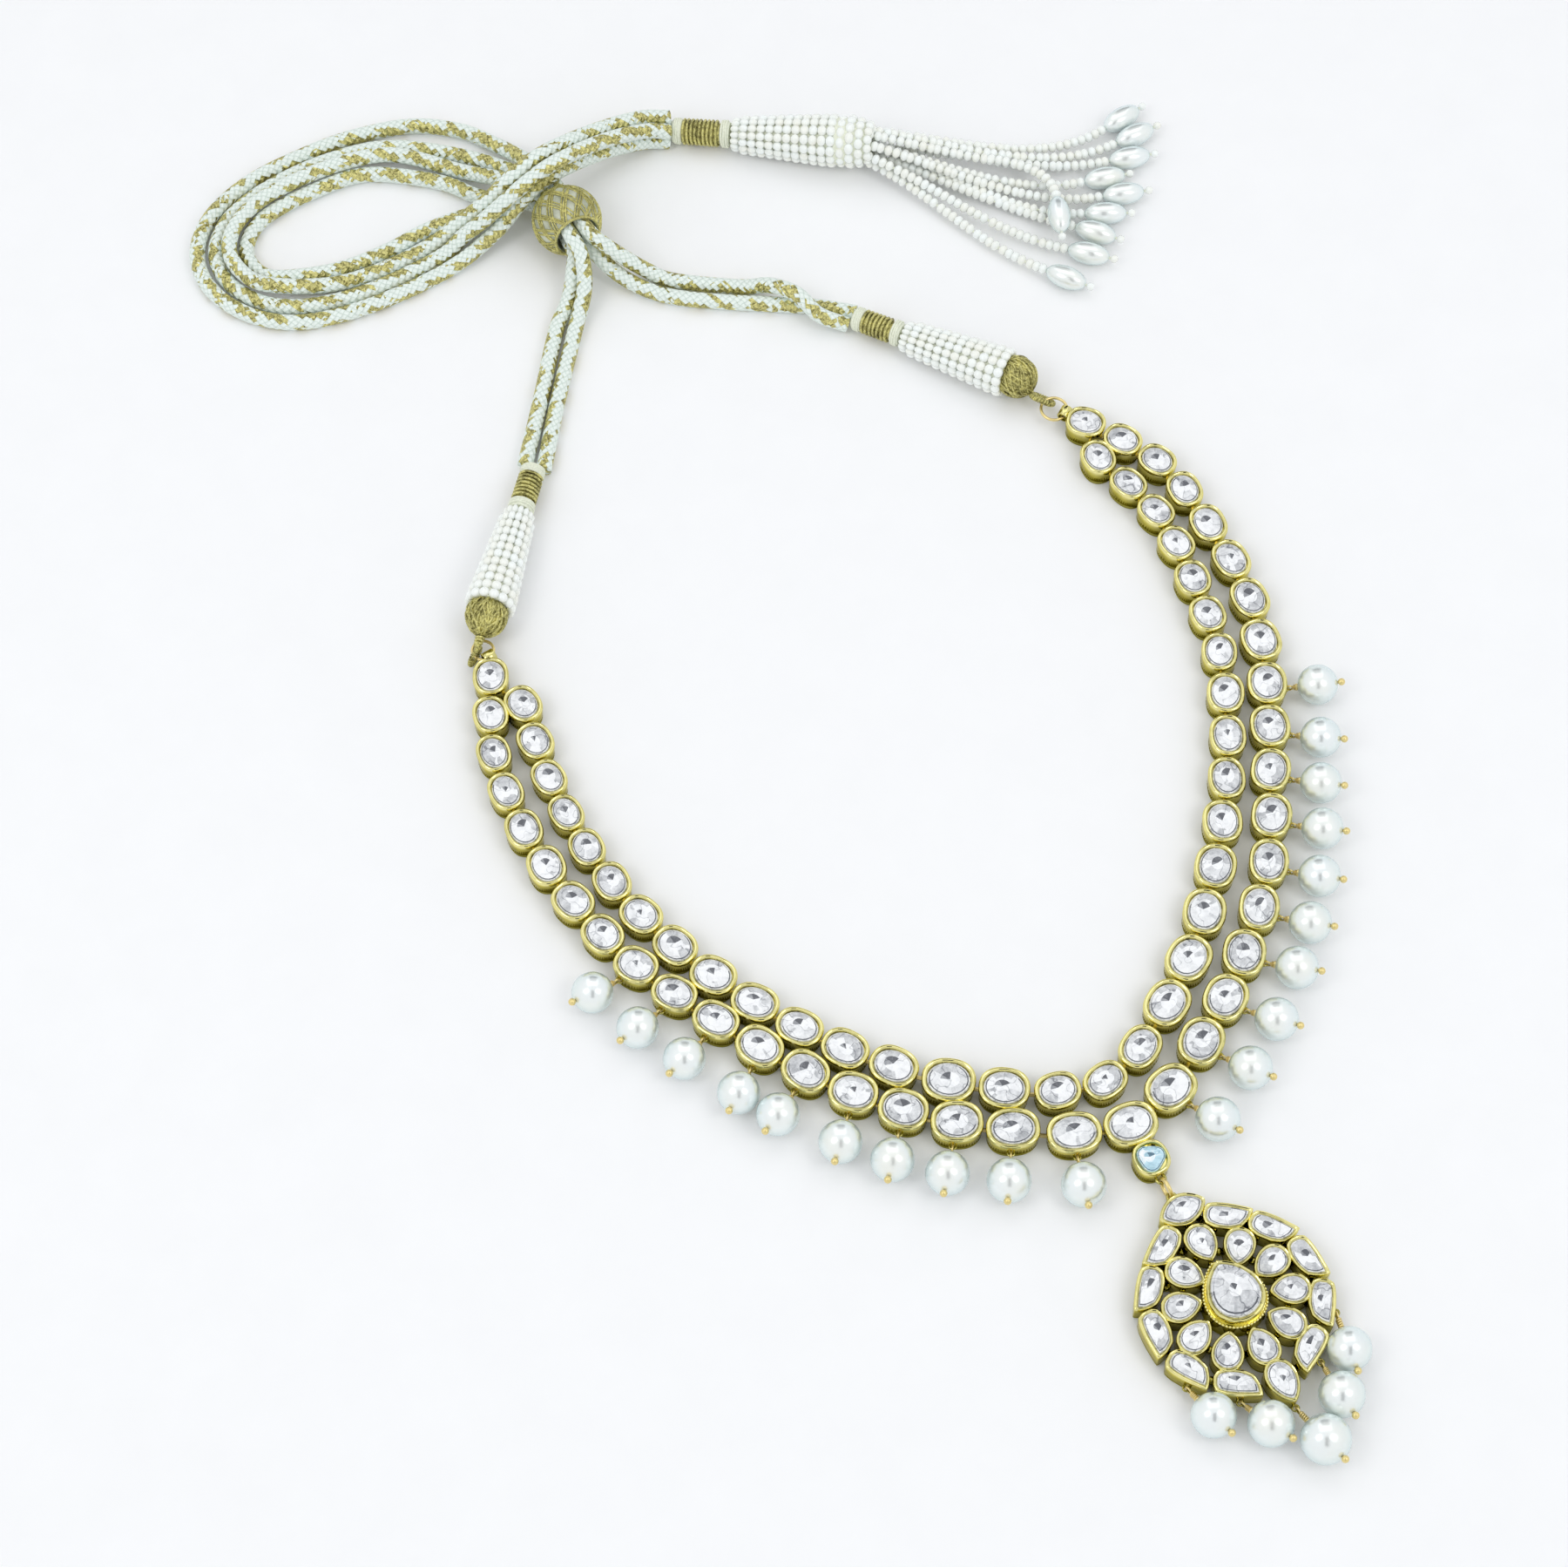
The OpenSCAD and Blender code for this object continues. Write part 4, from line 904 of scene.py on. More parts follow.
class KUNDAN_OT_collets(bpy.types.Operator):
    """Raises the gold collets of both rows, the end collets and the connector."""
    bl_idname = "kundan.collets"
    bl_label = "Collets"

    def execute(self, context):
        sizes = context.scene.kundan_sizes
        up = sizes.collet_height / (4 * MM)
        pattern = smoothed(raised(softened_oval(48), COLLET_ROWS), 55)

        def boxes(collets):
            return copies(pattern, [standing(*c[:2], 0, c[2], (c[3] * 1.03, c[4] * 1.12, up)) for c in collets])

        ear = ring(0.5, sizes.pin_wire / MM / 2, 20, 8)
        loop = ring(0.7, 0.25)
        post = spun([(0, 0), (0, 0.7), (1.8, 0.7), (1.8, 0)], 20)
        outer = boxes(OUTER_COLLETS[1:MIDDLE_COLLET] + OUTER_COLLETS[MIDDLE_COLLET + 1:-1])
        outer += copies(ear, [standing(*d[:2], RING_Z) for d in STRIP_DROPS.values()])
        inner = boxes(INNER_COLLETS)
        centre = boxes((OUTER_COLLETS[MIDDLE_COLLET], CONNECTOR))
        centre += copies(loop, [standing(0, CONNECTOR[1] - 3.2, 2)])
        centre += copies(post, [Matrix.Translation(spot(0, -3.65, 0.8)) @ turned(-90, "Y")])
        rows = [("outer", outer, "outer_collets"), ("inner", inner, "inner_collets"), ("centre", centre, "centre_collets")]
        tube = spun([(-1, 0.8), (-1, 1.02), (-0.92, 1.1), (0.92, 1.1), (1, 1.02), (1, 0.8), (-1, 0.8)], 28)
        for name, _, (way, link_way, *_), c in ENDS:
            at = bail_at(c, way)
            bail = copies(tube, [standing(at.x, at.y, LINK_Z, 0.2 * way + 0.8 * link_way - 90)])
            rows.append(("end_" + name, boxes((c,)) + bail, "end_collet_" + name))
        for name, parts, node in rows:
            name = ("collet_" if name.startswith("end") else "collets_") + name
            dressed(parts, name, polished_gold(), "gold", node)
        thrown_away(pattern, ear, loop, post, tube)
        return {"FINISHED"}


def round_outline():
    return [(math.cos(t), math.sin(t)) for t in around(STONE_SIDES)]


def three_cornered():
    """A rounded triangle with a corner towards the lower edge of the picture."""
    found = []
    for t in around(STONE_SIDES):
        k = 0.9 + 0.1 * math.cos(3 * (t - math.radians(UPWARD + 180)))
        found.append((math.cos(t) * k, math.sin(t) * k))
    return found


def stone_pattern(outline, table, shift):
    """An uncut stone of unit half sizes: thin edge, a lapped step, long planes that run to a small table."""
    rows = [(1, 0), (1, 0.5), (0.96, 0.66), (0.9, 0.75), (0.84, 0.78), (0.6, 0.9), (table, 1)]
    piece = raised(outline, [(share, share, z) for share, z in rows])
    pick_up(piece)
    bpy.ops.object.mode_set(mode="EDIT")
    select_top(piece)
    bpy.ops.transform.translate(value=(shift[0] * MM, shift[1] * MM, 0))
    bpy.ops.mesh.poke()
    bpy.ops.object.mode_set(mode="OBJECT")
    return smoothed(piece, 14)


# How a stone's table sits, used in turn: shift along, shift across, size
STONE_CUTS = [
    (0.06, -0.04, 0.44), (-0.1, 0.04, 0.38), (0.03, 0.1, 0.4), (0.1, -0.08, 0.36), (-0.05, 0.05, 0.46),
    (-0.06, 0, 0.25)]
STONE_SIDES = 24
# Tones that the long planes of a stone have, and where on its height the lap and the long planes begin
PLANE_TONES = (0.58, 0.7, 0.85, 0.95, 1)
LAP_LIFT, PLANES_LIFT, TABLE_LIFT = 0.755, 0.775, 0.97


def toned(piece, spots, seed):
    """Gives each plane of each stone its lightness, from dark to light: random values for the long planes, and
    painted reflections set by the picture's up direction: a grey triangle that points down to the middle, pale
    planes beside it, a thin grey line round the lower edge and somewhat darker planes below it where the rim is
    mirrored, and painted shade on planes near the edge towards the top of the picture."""
    mesh = piece.data
    tone = mesh.attributes.new("tone", "FLOAT", "FACE")
    random.seed(seed)
    lots = []
    for x, y, turn, a, b, low, high in spots:
        edges = sorted(random.uniform(-180, 180) for _ in range(8))
        tones = [random.choice(PLANE_TONES) for _ in range(9)]
        wide, lean, start = random.uniform(30, 44), random.uniform(-16, 16), random.uniform(20, 110)
        lots.append((spot(x, y), turn, a, b, low, high, edges, tones, wide, lean, start))
    count = len(mesh.polygons) // len(lots)
    values = []
    for i, f in enumerate(mesh.polygons):
        at, turn, a, b, low, high, edges, tones, wide, lean, start = lots[i // count]
        v = f.center - at
        c, s = math.cos(math.radians(turn)), math.sin(math.radians(turn))
        u, w = (v.x * c + v.y * s) / a / MM, (-v.x * s + v.y * c) / b / MM
        reach = math.hypot(u, w)
        # Heading from the top of the picture, which aims the painted reflections and shade
        way = (heading(v) - UPWARD - lean + 180) % 360 - 180
        lift = (f.center.z / MM - low) / (high - low)
        plane = tones[sum(way > e for e in edges)]
        # Painted reflection on the table: a grey triangle towards the top of the picture, a grey plane beside it,
        # pale elsewhere
        if lift > TABLE_LIFT:
            plane = 0.02 if abs(way) < wide else (0.35 if 0 < way < wide + 40 else 0.95)
        # Painted reflection of the rim: a dark line on the lap, except towards the top of the picture
        elif LAP_LIFT < lift < PLANES_LIFT:
            plane = 0.0 if abs(way) > start else 0.55
        # Painted reflection of the rim: somewhat darker planes below the lap, at random
        elif lift < LAP_LIFT:
            plane = 0.55 + 0.35 * random.random()
        # Painted shade: slightly darker planes near the edge towards the top of the picture
        elif abs(way) < 40 and reach > 0.55:
            plane = 0.6
        values.append(plane)
    tone.data.foreach_set("value", values)


class KUNDAN_OT_stones(bpy.types.Operator):
    """Sets the uncut stones in the collets and the pendant."""
    bl_idname = "kundan.stones"
    bl_label = "Stones"

    def execute(self, context):
        def set_in(name, seats, finish, slot, seed):
            """Seats are x, y, turn, half length, half width, height of the back, thickness, cut, outline."""
            patterns = {}
            parts = []
            for x, y, turn, a, b, z, h, cut, outline in seats:
                key = (outline.__name__, cut)
                if key not in patterns:
                    dx, dy, size = STONE_CUTS[cut]
                    patterns[key] = stone_pattern(outline(), size, (dx, dy))
                parts += copies(patterns[key], [standing(x, y, z, turn, (a, b, h))])
            piece = joined(parts, "uncut_" + name)
            toned(piece, [seat[:6] + (seat[5] + seat[6],) for seat in seats], seed)
            thrown_away(*patterns.values())
            dressed(piece, "uncut_" + name, finish, slot, name)

        def in_collets(row, first):
            return [(*c[:3], c[3] * 0.825, c[4] * 0.865, 2.97, 1.05, (i + first) % 5, round_outline)
                    for i, c in enumerate(row)]

        petals = []
        for x, y in mirrored(PETALS) + PETALS_ON_AXIS:
            way = heading((CENTRE[0] - x, CENTRE[1] - y))
            petals.append((x, y, way, 2.68, 2.33, 3.3, 1.1, len(petals) % 5, pear_stone))
        size = (3.03, 1.52, 3.15, 1.05)
        border = [(x, y, turn, *size, i, border_stone) for i, (x, y, turn) in enumerate(BORDER)]
        border += [(-x, y, 180 - turn, *size, i, border_stone_left) for i, (x, y, turn) in enumerate(BORDER)]
        border.append((*TOP_LEAF, TOP_LEAF_TURN, 3.32, 2.04, 3.4, 1.1, 2, leaf_stone))
        border.append((*BOTTOM_DROP, -90, 3.08, 2.33, 3.4, 1.1, 3, pear_stone))
        connector = [(*CONNECTOR[:3], 2.45, 2.45, 2.97, 1.05, 1, three_cornered)]
        middle = [(*CENTRE, 90, 4.48, 4.38, 5, 1.6, 5, pear_stone)]
        set_in("outer_stones", in_collets(OUTER_COLLETS, 0), uncut_stone(), "stone", 11)
        set_in("inner_stones", in_collets(INNER_COLLETS, 2), uncut_stone(), "stone", 12)
        set_in("connector_stone", connector, pale_blue_stone(), "pale_stone", 13)
        set_in("petal_stones", petals, uncut_stone(), "stone", 14)
        set_in("border_stones", border, uncut_stone(), "stone", 15)
        set_in("centre_stone", middle, uncut_stone(), "stone", 16)
        return {"FINISHED"}


def mirrored(places):
    """Places of the right half, then those of the left."""
    return places + [(-x, y) for x, y in places]


def pear(a, b, n=32):
    return [(a * math.cos(t), b * math.sin(t) * abs(math.sin(t / 2)) ** 0.45) for t in around(n)]


def leaf(a, b, n=32):
    return [(a * math.cos(t), b * math.sin(t) * (0.4 + 0.6 * abs(math.sin(t)))) for t in around(n)]


def border_shape(a, b):
    """The outline of a border setting: between a smooth curve and straight sides."""
    rows = [BORDER_OUTLINE[-1]] + BORDER_OUTLINE + BORDER_OUTLINE[:2]
    found = []
    for i in range(1, len(BORDER_OUTLINE) + 1):
        for u in (0, 0.25, 0.5, 0.75):
            straight = Vector(rows[i]).lerp(Vector(rows[i + 1]), u)
            q = curve_point(i + u, rows).lerp(straight, 0.55)
            found.append((q.x * a, q.y * b))
    return found


def pear_stone():
    return pear(1, 1, STONE_SIDES)


def leaf_stone():
    return leaf(1, 1, STONE_SIDES)


def border_stone():
    return border_shape(1, 1)[::2]


def border_stone_left():
    return [(x, -y) for x, y in border_shape(1, 1)[::2]][::-1]


def setting(outline, a, b, low, high, rim=0.6):
    """A closed gold setting with a rolled rim of even width round a seat."""
    def row(inward, z):
        return ((a - inward) / a, (b - inward) / b, z)
    return smoothed(raised(outline, [
        row(0.16, low), row(0.08, low + 0.4), row(0.18, low + 0.55), row(0.18, low + 0.7), row(0.06, low + 0.85),
        row(0.03, high - 0.75), row(0, high - 0.45), row(0.04, high - 0.22), row(0.14, high - 0.05),
        row(0.22, high), row(0.33, high - 0.05), row(rim - 0.06, high - 0.2), row(rim, high - 0.5),
        row(rim, high - 0.95)]), 55)


class KUNDAN_OT_pendant(bpy.types.Operator):
    """Solders the pendant: border, petals, raised middle with a beaded edge, loops and bars."""
    bl_idname = "kundan.pendant"
    bl_label = "Pendant"

    def execute(self, context):
        wire_r = context.scene.kundan_sizes.pin_wire / MM / 2
        unit = setting(border_shape(3.6, 2.08), 3.6, 2.08, 0, 4)
        parts = copies(unit, [standing(x, y, 0, turn) for x, y, turn in BORDER])
        for piece in copies(unit, [standing(-x, y, 0, 180 - turn, (1, -1, 1)) for x, y, turn in BORDER]):
            parts.append(faced_out(settle(piece)))
        centre = Vector(CENTRE)
        petals = [Vector(p) for p in mirrored(PETALS) + PETALS_ON_AXIS]
        grain, edge = ball(0.27, 8, 6), [Vector(p) for p in pear(5.48, 5.42, 720)]
        grains, run = [], 0.0
        for last, p in zip(edge, edge[1:]):
            run += (p - last).length
            if run > GRAIN_STEP:
                run = 0.0
                grains.append(standing(CENTRE[0] - p.y, CENTRE[1] + p.x, 4.3))
        flange = [(1, 1, 0.3), (1, 1, 3.9), (0.99, 0.99, 4.1), (0.97, 0.97, 4.2), (0.6, 0.6, 4.2)]
        frames = [Vector(TOP_LEAF)] + [Vector(b[:2]) for b in BORDER] + [Vector(BOTTOM_DROP)]
        inner = [Vector(PETALS_ON_AXIS[0])] + [Vector(p) for p in PETALS] + [Vector(PETALS_ON_AXIS[1])]
        meets = [(p + q) / 2 for row in (frames, inner) for p, q in zip(row, row[1:])]
        meets += [(inner[i] + frames[i + 1]) / 2 for i in range(5)]
        meets += [p + 0.43 * (centre - p) for p in inner[1:-1]]
        meets += [Vector((-p.x, p.y)) for p in meets]
        meets += [(inner[i] + frames[i]) / 2 for i in (0, -1)]
        meets += [p + 0.38 * (centre - p) for p in (inner[0], inner[-1])]
        upright = turned(-90, "Y")
        made = [
            (setting(pear(3.25, 2.9), 3.25, 2.9, 0.1, 4.15), [standing(*p, 0, heading(centre - p)) for p in petals]),
            (setting(leaf(3.9, 2.6), 3.9, 2.6, 0.05, 4.2, 0.62), [standing(*TOP_LEAF, 0, TOP_LEAF_TURN)]),
            (setting(pear(3.65, 2.9), 3.65, 2.9, 0.1, 4.2, 0.62), [standing(*BOTTOM_DROP, 0, -90)]),
            (smoothed(raised(pear(5.6, 5.6, 48), flange), 40), [standing(*CENTRE, 0, 90)]),
            (setting(pear(5.15, 5.05, 48), 5.15, 5.05, 1, 6, 0.7), [standing(*CENTRE, 0, 90)]),
            (grain, grains),
            (spun([(0, 0), (0, 0.5), (0.1, 0.6), (0.6, 0.6), (0.8, 0.4), (0.8, 0)], 16),
             [Matrix.Translation(spot(p.x, p.y, 0.5)) @ upright for p in meets]),
            (ring(0.5, wire_r, 20, 8), [standing(*d[:2], RING_Z) for d in PENDANT_DROPS]),
            (ring(0.7, 0.25), [standing(0, TOP_LEAF[1] + 2.9, 2)])]
        for pattern, places in made:
            parts += copies(pattern, places)
        dressed(parts, "pendant_settings", polished_gold(), "gold", "pendant_frame")
        thrown_away(unit, *[pattern for pattern, _ in made])

        bail = placed(ring(1.6, 0.34, 36, 12), Matrix.Translation(spot(0, -11.27, 2)) @ turned(90, "Y"))
        dressed(settle(bail), "pendant_ring", gold_wire(), "gold_wire", "pendant_bail")
        return {"FINISHED"}


class KUNDAN_OT_pearls(bpy.types.Operator):
    """Drills the pearls and hangs each on its gold pin."""
    bl_idname = "kundan.pearls"
    bl_label = "Pearls and pins"

    def execute(self, context):
        wire_r = context.scene.kundan_sizes.pin_wire / MM / 2
        eye = settle(placed(ring(0.6, wire_r, 20, 8), turned(90, "X")))
        end = ball(0.6, 16, 10)
        collar = spun([(-0.42, 0.3), (-0.4, 0.5), (-0.25, 0.62), (-0.05, 0.55), (0, 0.3), (-0.42, 0.3)], 16)
        coil = wire([about_x(t / 30, 0.37, t * math.tau / 10) for t in range(41)], 0.28, 2)
        stem = spun([(0, 0), (0, wire_r), (1, wire_r), (1, 0)], 10)

        def pins(name, drops, node):
            parts = []
            for d in drops:
                hang, pearl, r = hung(d)
                start = hang + 0.55 * (pearl - hang).normalized()
                long = (pearl - start).length
                gap = long - r - 0.35 - 0.72
                place = aimed(start, pearl)
                for pattern, along, stretch in (
                        (eye, 0, 1), (stem, 0.6, long + r), (coil, 0.72, gap / 1.33), (collar, long - r + 0.04, 1),
                        (end, long + r + 0.6, 1)):
                    parts += copies(pattern, [place @ shift_x(along) @ Matrix.Diagonal((stretch, 1, 1, 1))])
            dressed(parts, name, gold_wire(), "gold_wire", node)

        pins("pins_strip", STRIP_DROPS.values(), "strip_pins")
        pins("pins_pendant", PENDANT_DROPS, "pendant_pins")
        thrown_away(eye, end, collar, coil, stem)

        drops = {**STRIP_DROPS, **{"pendant_" + str(i + 1): d for i, d in enumerate(PENDANT_DROPS)}}
        full = 3.5
        bore = math.degrees(math.asin(0.3 / full))
        drilled = [(-3.49, 0.22), (-3.3, 0.2), (3.3, 0.2), (3.49, 0.22)]
        pattern = spun(drilled + arc(full, bore, 180 - bore, 28) + drilled[:1], 48)
        for name, d in drops.items():
            hang, pearl, r = hung(d)
            place = aimed(pearl, 2 * pearl - hang) @ Matrix.Scale(r / full, 4)
            dressed(copies(pattern, [place]), "skin_" + name, pearl_skin(), "pearl", "pearl_" + name)
        thrown_away(pattern)
        return {"FINISHED"}


def shaded(piece, bead_faces, seed):
    """Gives each bead of a joined piece, all alike in their number of faces, its own slight shade."""
    mesh = piece.data
    shade = mesh.attributes.new("shade", "FLOAT", "FACE")
    random.seed(seed)
    values, now = [], 0.0
    for i in range(len(mesh.polygons)):
        if i % bead_faces == 0:
            now = random.random()
        values.append(now)
    shade.data.foreach_set("value", values)


def bead_rings(place, spans, count, depth=0.72):
    """Places for rings of beads about X: spans are (along, outer radius, half pitch)."""
    found = []
    for s, r, half in spans:
        middle = r - depth
        wide = math.pi * middle / count * 1.12
        for a in around(count):
            found.append(place @ Matrix.Rotation(a + math.pi / count, 4, "X")
                         @ Matrix.Translation((s * MM, 0, middle * MM)) @ Matrix.Diagonal((half, wide, depth, 1)))
    return found


def wound(place, s0, s1, r0, r1, d, lean=0.0, apart=0.98):
    """Turns of thread wound about X, as one wire: apart is their pitch in thicknesses, lean how far they slant."""
    turns = max(1, round((s1 - s0) / (d * apart)))
    n = turns * 20
    points = []
    for i in range(n + 1):
        t = i / n
        a = math.tau * turns * t
        waver = lean * math.cos(a) + 0.12 * d * math.sin(2.3 * a) * math.sin(0.37 * a)
        points.append(place @ about_x(s0 + (s1 - s0) * t + waver, r0 + (r1 - r0) * t, a))
    return wire(points, d, 2)


class KUNDAN_OT_beadwork(bpy.types.Operator):
    """Strings the bead sleeves, the tassel's sleeve, cap and strings, and its rice pearls."""
    bl_idname = "kundan.beadwork"
    bl_label = "Beadwork"

    def execute(self, context):
        bead = ball(1, 10, 6)
        bead_faces = len(bead.data.polygons)

        def sleeve(name, place, s0, s1, r0, r1, node):
            rings = 12
            pitch = (s1 - s0) / rings
            spans = [(s0 + pitch * (i + 0.5), r0 + (r1 - r0) * min(1, (i + 0.6) / (rings - 1)), pitch * 0.55)
                     for i in range(rings)]
            spans[0] = (spans[0][0], r0 - 0.25, spans[0][2])
            piece = joined(copies(bead, bead_rings(place, spans, 14)), name)
            shaded(piece, bead_faces, rings)
            dressed(piece, name, seed_bead(), "seed_beads", node)
            core = spun([(s0 + 0.2, 0), (s0 + 0.2, r0 - 1.1), (s1 - 0.2, r1 - 0.85), (s1 - 0.2, 0)], 24)
            dressed(settle(placed(core, place)), name + "_core", cream_thread(), "braided_cord")

        for side, end, _, _ in ENDS:
            place = lying(end, SLEEVE_Z, SLEEVE_RISE)
            sleeve("beads_sleeve_" + side, place, 9.3, 28.9, 3, 4.35, "bead_sleeve_" + side)
        place = lying(TASSEL_AT, TASSEL_Z, TASSEL_RISE)
        sleeve("beads_tassel_sleeve", place, 10.6, 29.3, 3.3, 4.75, "tassel_sleeve")

        parts = []
        cap = [(30.2, 4.55, 0.82), (31.8, 4.75, 0.84), (33.4, 4.45, 0.82), (34.9, 3.9, 0.8)]
        for i, span in enumerate(cap):
            parts += copies(bead, bead_rings(place @ Matrix.Rotation(i * 0.24, 4, "X"), [span], 13, 0.74))
        way = toward(TASSEL_AT[2])
        left = Vector((-way.y, way.x))
        end = Vector(TASSEL_AT[:2]) + STRINGS_ALONG * way
        top = TASSEL_Z + STRINGS_ALONG * math.sin(math.radians(TASSEL_RISE)) - 0.6
        d = context.scene.kundan_sizes.string_bead / MM
        strings, pearls = [], []
        for across, above, x, y, z, turn in STRINGS:
            out = toward(turn)
            start = Vector((*(end + across * left - 1.5 * way), top + above))
            tip = Vector((x - out.x * 3.7, y - out.y * 3.7, z))
            ahead = (way + 1.7 * (tip - start).xy.normalized()).normalized()
            reach = (tip - start).length * 0.33
            p1 = start + Vector((reach * ahead.x, reach * ahead.y, -0.45 * (start.z - STRING_LOW)))
            p2 = Vector((tip.x - reach * out.x, tip.y - reach * out.y, max(STRING_LOW, z - 1.2)))
            line = []
            for i in range(121):
                u = i / 120
                v = 1 - u
                line.append(v ** 3 * start + 3 * u * v ** 2 * p1 + 3 * u * u * v * p2 + u ** 3 * tip)
            strings.append([spot(*p) for p in line[::6]])
            run = 0.6
            for q, p in zip(reversed(line), reversed(line[:-1])):
                run += (q - p).length
                if run >= BEAD_STEP:
                    run -= BEAD_STEP
                    at = Vector((q.x, q.y, max(q.z, d / 2)))
                    parts += copies(bead, [aimed(at, at + q - p) @ Matrix.Diagonal((0.76, d / 2, d / 2, 1))])
            tail = Vector((x + out.x * 4.55, y + out.y * 4.55, z))
            parts += copies(bead, [standing(*tail, turn, (0.72, 0.72, 0.72))])
            strings.append([spot(*tip), spot(*tail)])
            pearls.append(standing(x, y, z, turn))
        piece = joined(parts, "beads_tassel")
        shaded(piece, bead_faces, 7)
        dressed(piece, "beads_tassel", seed_bead(), "seed_beads", "tassel_strings")
        parts = [wire(line, 0.5, 1) for line in strings]
        parts.append(placed(spun([(29, 0), (29, 4.1), (31, 4.15), (33, 3.8), (35.4, 2.8), (35.5, 0)], 28), place))
        dressed(parts, "tassel_threads", cream_thread(), "braided_cord")

        rice = ball(1, 28, 18, (3.7, 1.95, 1.95))
        dressed(copies(rice, pearls), "rice_pearls", pearl_skin(), "rice_pearl", "tassel_pearls")
        thrown_away(bead, rice)
        return {"FINISHED"}


class KUNDAN_OT_windings(bpy.types.Operator):
    """Winds the cord wraps and the thread balls with their rings, and closes the link rings."""
    bl_idname = "kundan.windings"
    bl_label = "Windings"

    def execute(self, context):
        d = context.scene.kundan_sizes.thread / MM
        wraps = [("cord_wrap_" + name, lying(end, SLEEVE_Z, SLEEVE_RISE), 9.0, 2.2) for name, end, _, _ in ENDS]
        wraps.append(("tassel_wrap", lying(TASSEL_AT, TASSEL_Z, TASSEL_RISE), 10.3, 2.4))
        for node, place, long, r in wraps:
            name = node.replace("wrap", "winding")
            turns = wound(place, 1.9, long - 1.9, r - d / 2, r - d / 2 + 0.05, d * 0.85, 0.12, 1.35)
            core = spun([(1.5, 0), (1.5, r - d), (long - 1.5, r - d), (long - 1.5, 0)], 24)
            dressed([turns, placed(core, place)], name, metal_thread(), "gold_thread", node)
            bands = [wound(place, 0.35, 1.5, r - 0.3, r - 0.22, 0.42),
                     wound(place, long - 1.5, long - 0.3, r - 0.16, r - 0.1, 0.42)]
            for s0, s1 in ((0.02, 1.75), (long - 1.75, long - 0.05)):
                plug = [(s0, 0), (s0, r - 0.5), (s0 + 0.3, r - 0.24), (s1 - 0.3, r - 0.2), (s1, r - 0.4), (s1, 0)]
                bands.append(placed(spun(plug, 24), place))
            dressed(bands, name + "_bands", cream_thread(), "braided_cord")

        for name, end, (*_, x, y, turn, r, thick, roll), _ in ENDS:
            at = (Vector(end[:2]) + BALL_ALONG * toward(end[2])).to_3d()
            at.z = SLEEVE_Z + BALL_ALONG * math.sin(math.radians(SLEEVE_RISE))
            hoop = Vector((x, y, LINK_Z))
            near = hoop + r * toward(turn).to_3d()
            if name == "left":
                near = hoop + r * Vector((*(-0.5 * toward(turn)), 0.87))
            to_ring = aimed(at, near)
            parts = [placed(spun([(-BALL_R, 0)] + arc(BALL_R, 180, 8, 20)[1:] + [(BALL_R, 0)], 32), to_ring)]
            random.seed(len(name))
            for base in around(40):
                base, lean = base + random.uniform(-0.06, 0.06), random.choice((-1, 1)) * random.uniform(0.2, 1.1)
                line = arc(random.uniform(BALL_R, BALL_R + 0.22), 12, 168, 16)
                points = [to_ring @ about_x(s, h, base + lean * (i / 8 - 1)) for i, (s, h) in enumerate(line)]
                parts.append(wire(points, random.uniform(0.3, 0.46), 1))
            long = (near - at).length
            parts.append(wound(to_ring, 3.2, long - 0.4, 0.62, 0.5, 0.5))
            parts.append(placed(spun([(3, 0), (3, 0.5), (long, 0.45), (long, 0)], 14), to_ring))
            hold = Matrix.Translation(spot(*hoop)) @ turned(turn, "Z") @ turned(roll, "X")
            parts.append(placed(ring(r, thick * 0.6, 36, 8), hold))
            winds, wind_r = round(math.tau * r / 0.42), thick * 0.68
            points = []
            for a in around(winds * 12):
                t = a * winds
                out = r + wind_r * math.cos(t)
                points.append(hold @ (Vector((out * math.cos(a), out * math.sin(a), wind_r * math.sin(t))) * MM))
            parts.append(wire(points, thick * 0.62, 2, closed=True))
            dressed(parts, "wound_ball_" + name, metal_thread(), "gold_thread", "thread_ball_" + name)

        links = []
        for _, _, (way, link_way, r, *_), c in ENDS:
            at = bail_at(c, way) + (r - 0.12) * toward(link_way)
            links.append(placed(ring(r, 0.25, 36, 12), Matrix.Translation(spot(at.x, at.y, LINK_Z))))
        dressed(links, "links", gold_wire(), "gold_wire", "link_rings")
        for node in ("outer_row_wire", "inner_row_wire"):
            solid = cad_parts[node]
            solid.data.materials.clear()
            solid.data.materials.append(gold_wire())
        return {"FINISHED"}


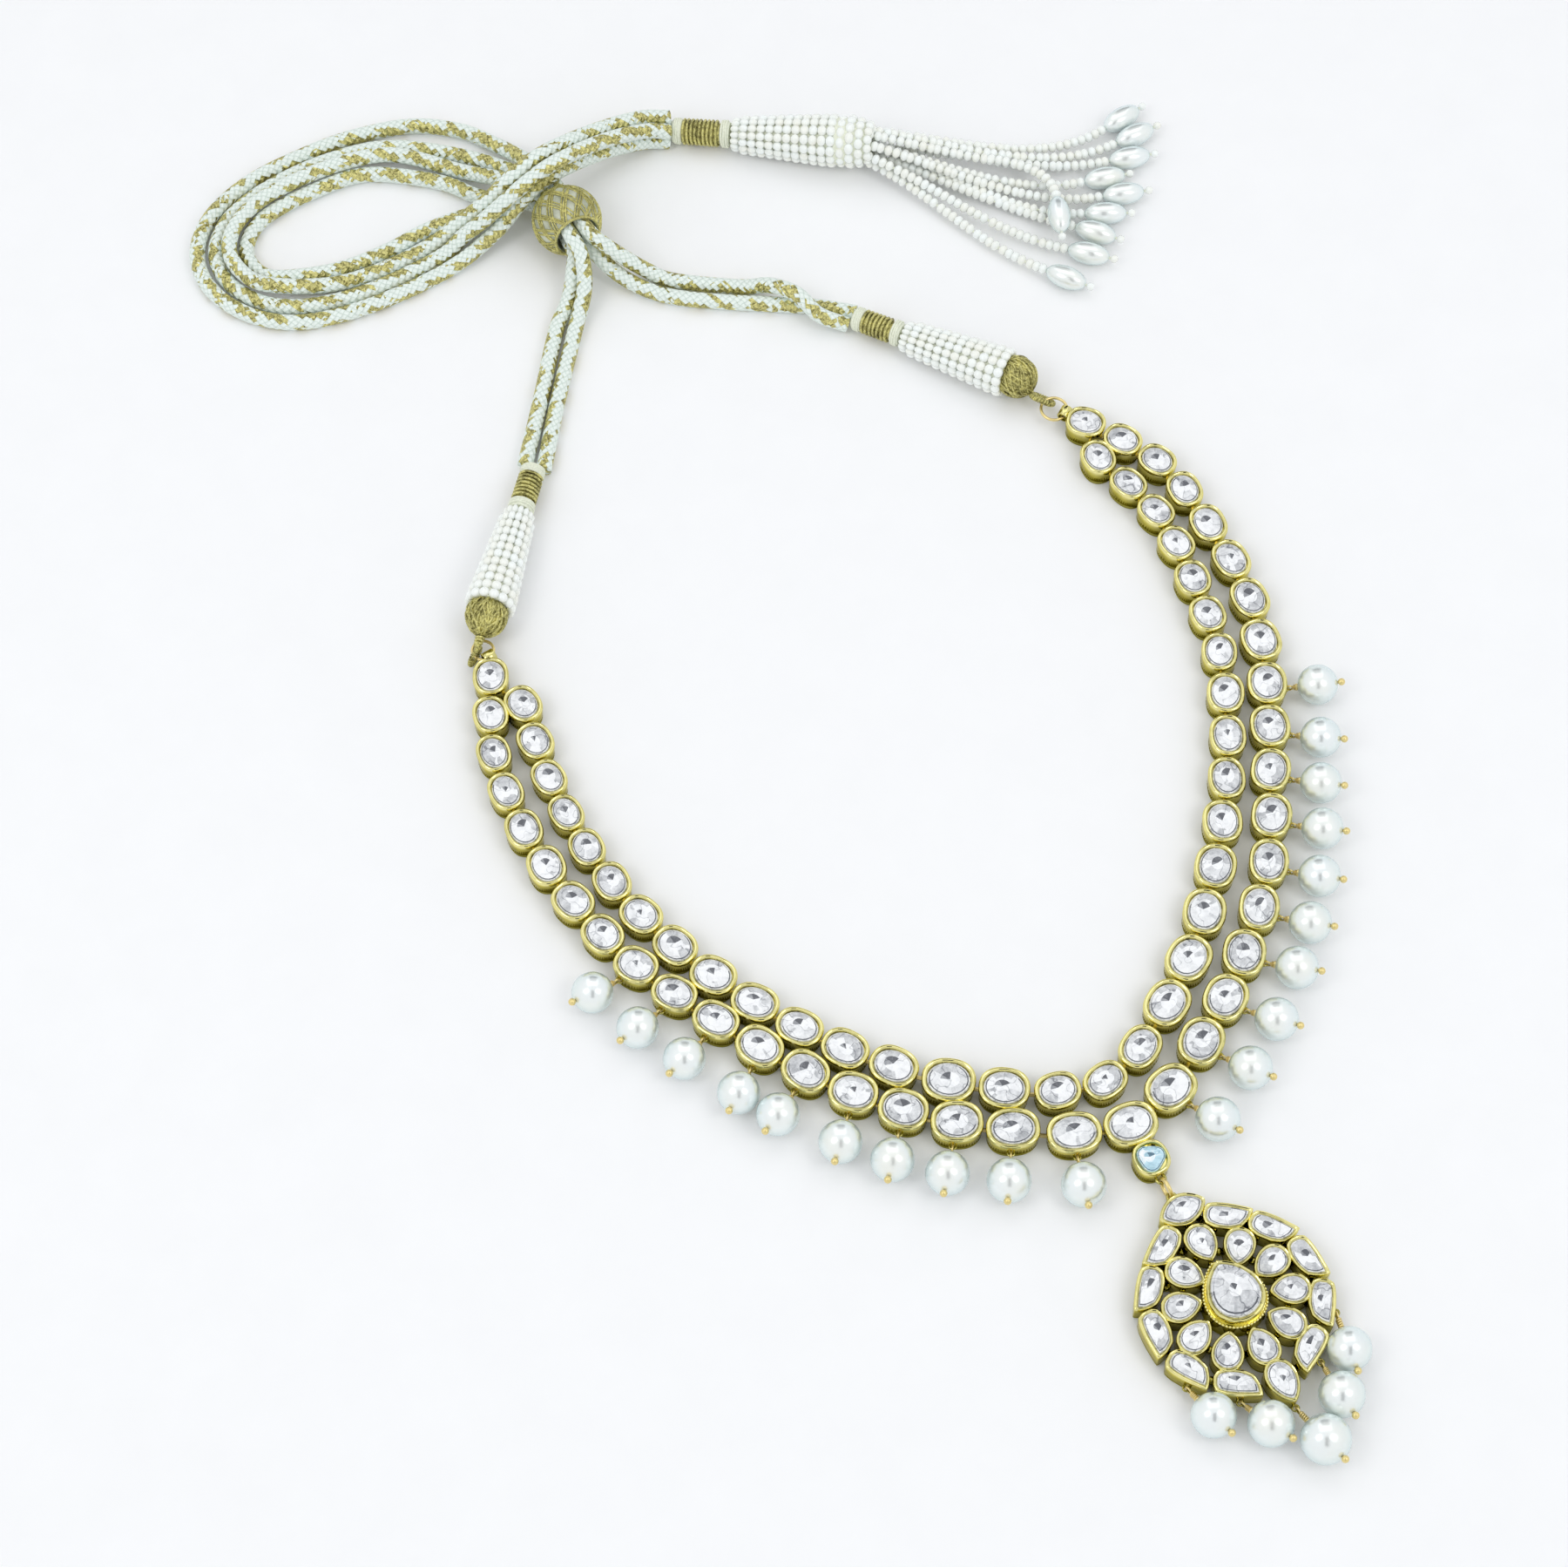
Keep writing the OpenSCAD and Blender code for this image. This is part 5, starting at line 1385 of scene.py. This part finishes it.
class KUNDAN_OT_stage(bpy.types.Operator):
    """Lays the pale floor and hangs the soft lights."""
    bl_idname = "kundan.stage"
    bl_label = "Stage"

    def execute(self, context):
        put_down()
        bpy.ops.mesh.primitive_plane_add(size=6)
        floor = named(bpy.context.object, "floor")
        floor.data.materials.append(paper())
        camera = context.scene.camera.matrix_world
        power = context.scene.kundan_sizes.key_light
        for name, lean, side, wide, long in CARDS:
            bpy.ops.mesh.primitive_grid_add(x_subdivisions=4, y_subdivisions=8, size=1)
            card = placed(named(bpy.context.object, name), turned(side + 90, "Z") @ turned(lean, "X")
                          @ Matrix.Translation((0, 0, CARD_FAR)) @ Matrix.Diagonal((wide, long, 1, 1)))
            card.data.materials.append(felt())
        for name, place, wide, deep, watts in (
                ("light_right", camera @ Vector((0.4, 0.1, 0.02)), 0.22, 0.3, power / 2),
                ("light_left", camera @ Vector((-0.4, 0.1, 0.02)), 0.22, 0.3, power / 2),
                ("light_back", Vector((0.17, 0.42, 0.62)), 0.8, 0.7, power * 0.75)):
            lamp = bpy.data.lights.new(name, "AREA")
            lamp.shape, lamp.energy, lamp.size, lamp.size_y = "RECTANGLE", watts, wide, deep
            lit = bpy.data.objects.new(name, lamp)
            lit.matrix_world = Matrix.Translation(place) @ place.to_track_quat("Z", "Y").to_matrix().to_4x4()
            context.collection.objects.link(lit)
        world = bpy.data.worlds.new("studio")
        world.use_nodes = True
        sky = world.node_tree.nodes["Background"].inputs
        sky["Color"].default_value, sky["Strength"].default_value = (0.95, 0.97, 1, 1), 0.9
        context.scene.world = world
        context.scene.view_settings.view_transform = "Standard"
        return {"FINISHED"}


class KUNDAN_PT_panel(bpy.types.Panel):
    """The necklace's colours, sizes and steps."""
    bl_idname = "KUNDAN_PT_panel"
    bl_label = "Kundan necklace"
    bl_space_type = "VIEW_3D"
    bl_region_type = "UI"
    bl_category = "Necklace"

    def draw(self, context):
        column = self.layout.column()
        for group in (context.scene.kundan_colours, context.scene.kundan_sizes):
            for key in group.bl_rna.properties.keys():
                if key not in ("rna_type", "name"):
                    column.prop(group, key)
        for step in STEPS:
            column.operator(step.bl_idname)


STEPS = (
    KUNDAN_OT_camera, KUNDAN_OT_slide_bead, KUNDAN_OT_cords, KUNDAN_OT_collets, KUNDAN_OT_stones,
    KUNDAN_OT_pendant, KUNDAN_OT_pearls, KUNDAN_OT_beadwork, KUNDAN_OT_windings, KUNDAN_OT_stage)
CLASSES = (KUNDAN_colours, KUNDAN_sizes, *STEPS, KUNDAN_PT_panel)


def register():
    for made in CLASSES:
        bpy.utils.register_class(made)
    bpy.types.Scene.kundan_colours = bpy.props.PointerProperty(type=KUNDAN_colours)
    bpy.types.Scene.kundan_sizes = bpy.props.PointerProperty(type=KUNDAN_sizes)


def unregister():
    del bpy.types.Scene.kundan_sizes
    del bpy.types.Scene.kundan_colours
    for made in reversed(CLASSES):
        bpy.utils.unregister_class(made)


def main():
    register()
    bpy.ops.kundan.camera()
    bpy.ops.kundan.slide_bead()
    bpy.ops.kundan.cords()
    bpy.ops.kundan.collets()
    bpy.ops.kundan.stones()
    bpy.ops.kundan.pendant()
    bpy.ops.kundan.pearls()
    bpy.ops.kundan.beadwork()
    bpy.ops.kundan.windings()
    bpy.ops.kundan.stage()


if __name__ == "__main__":
    main()
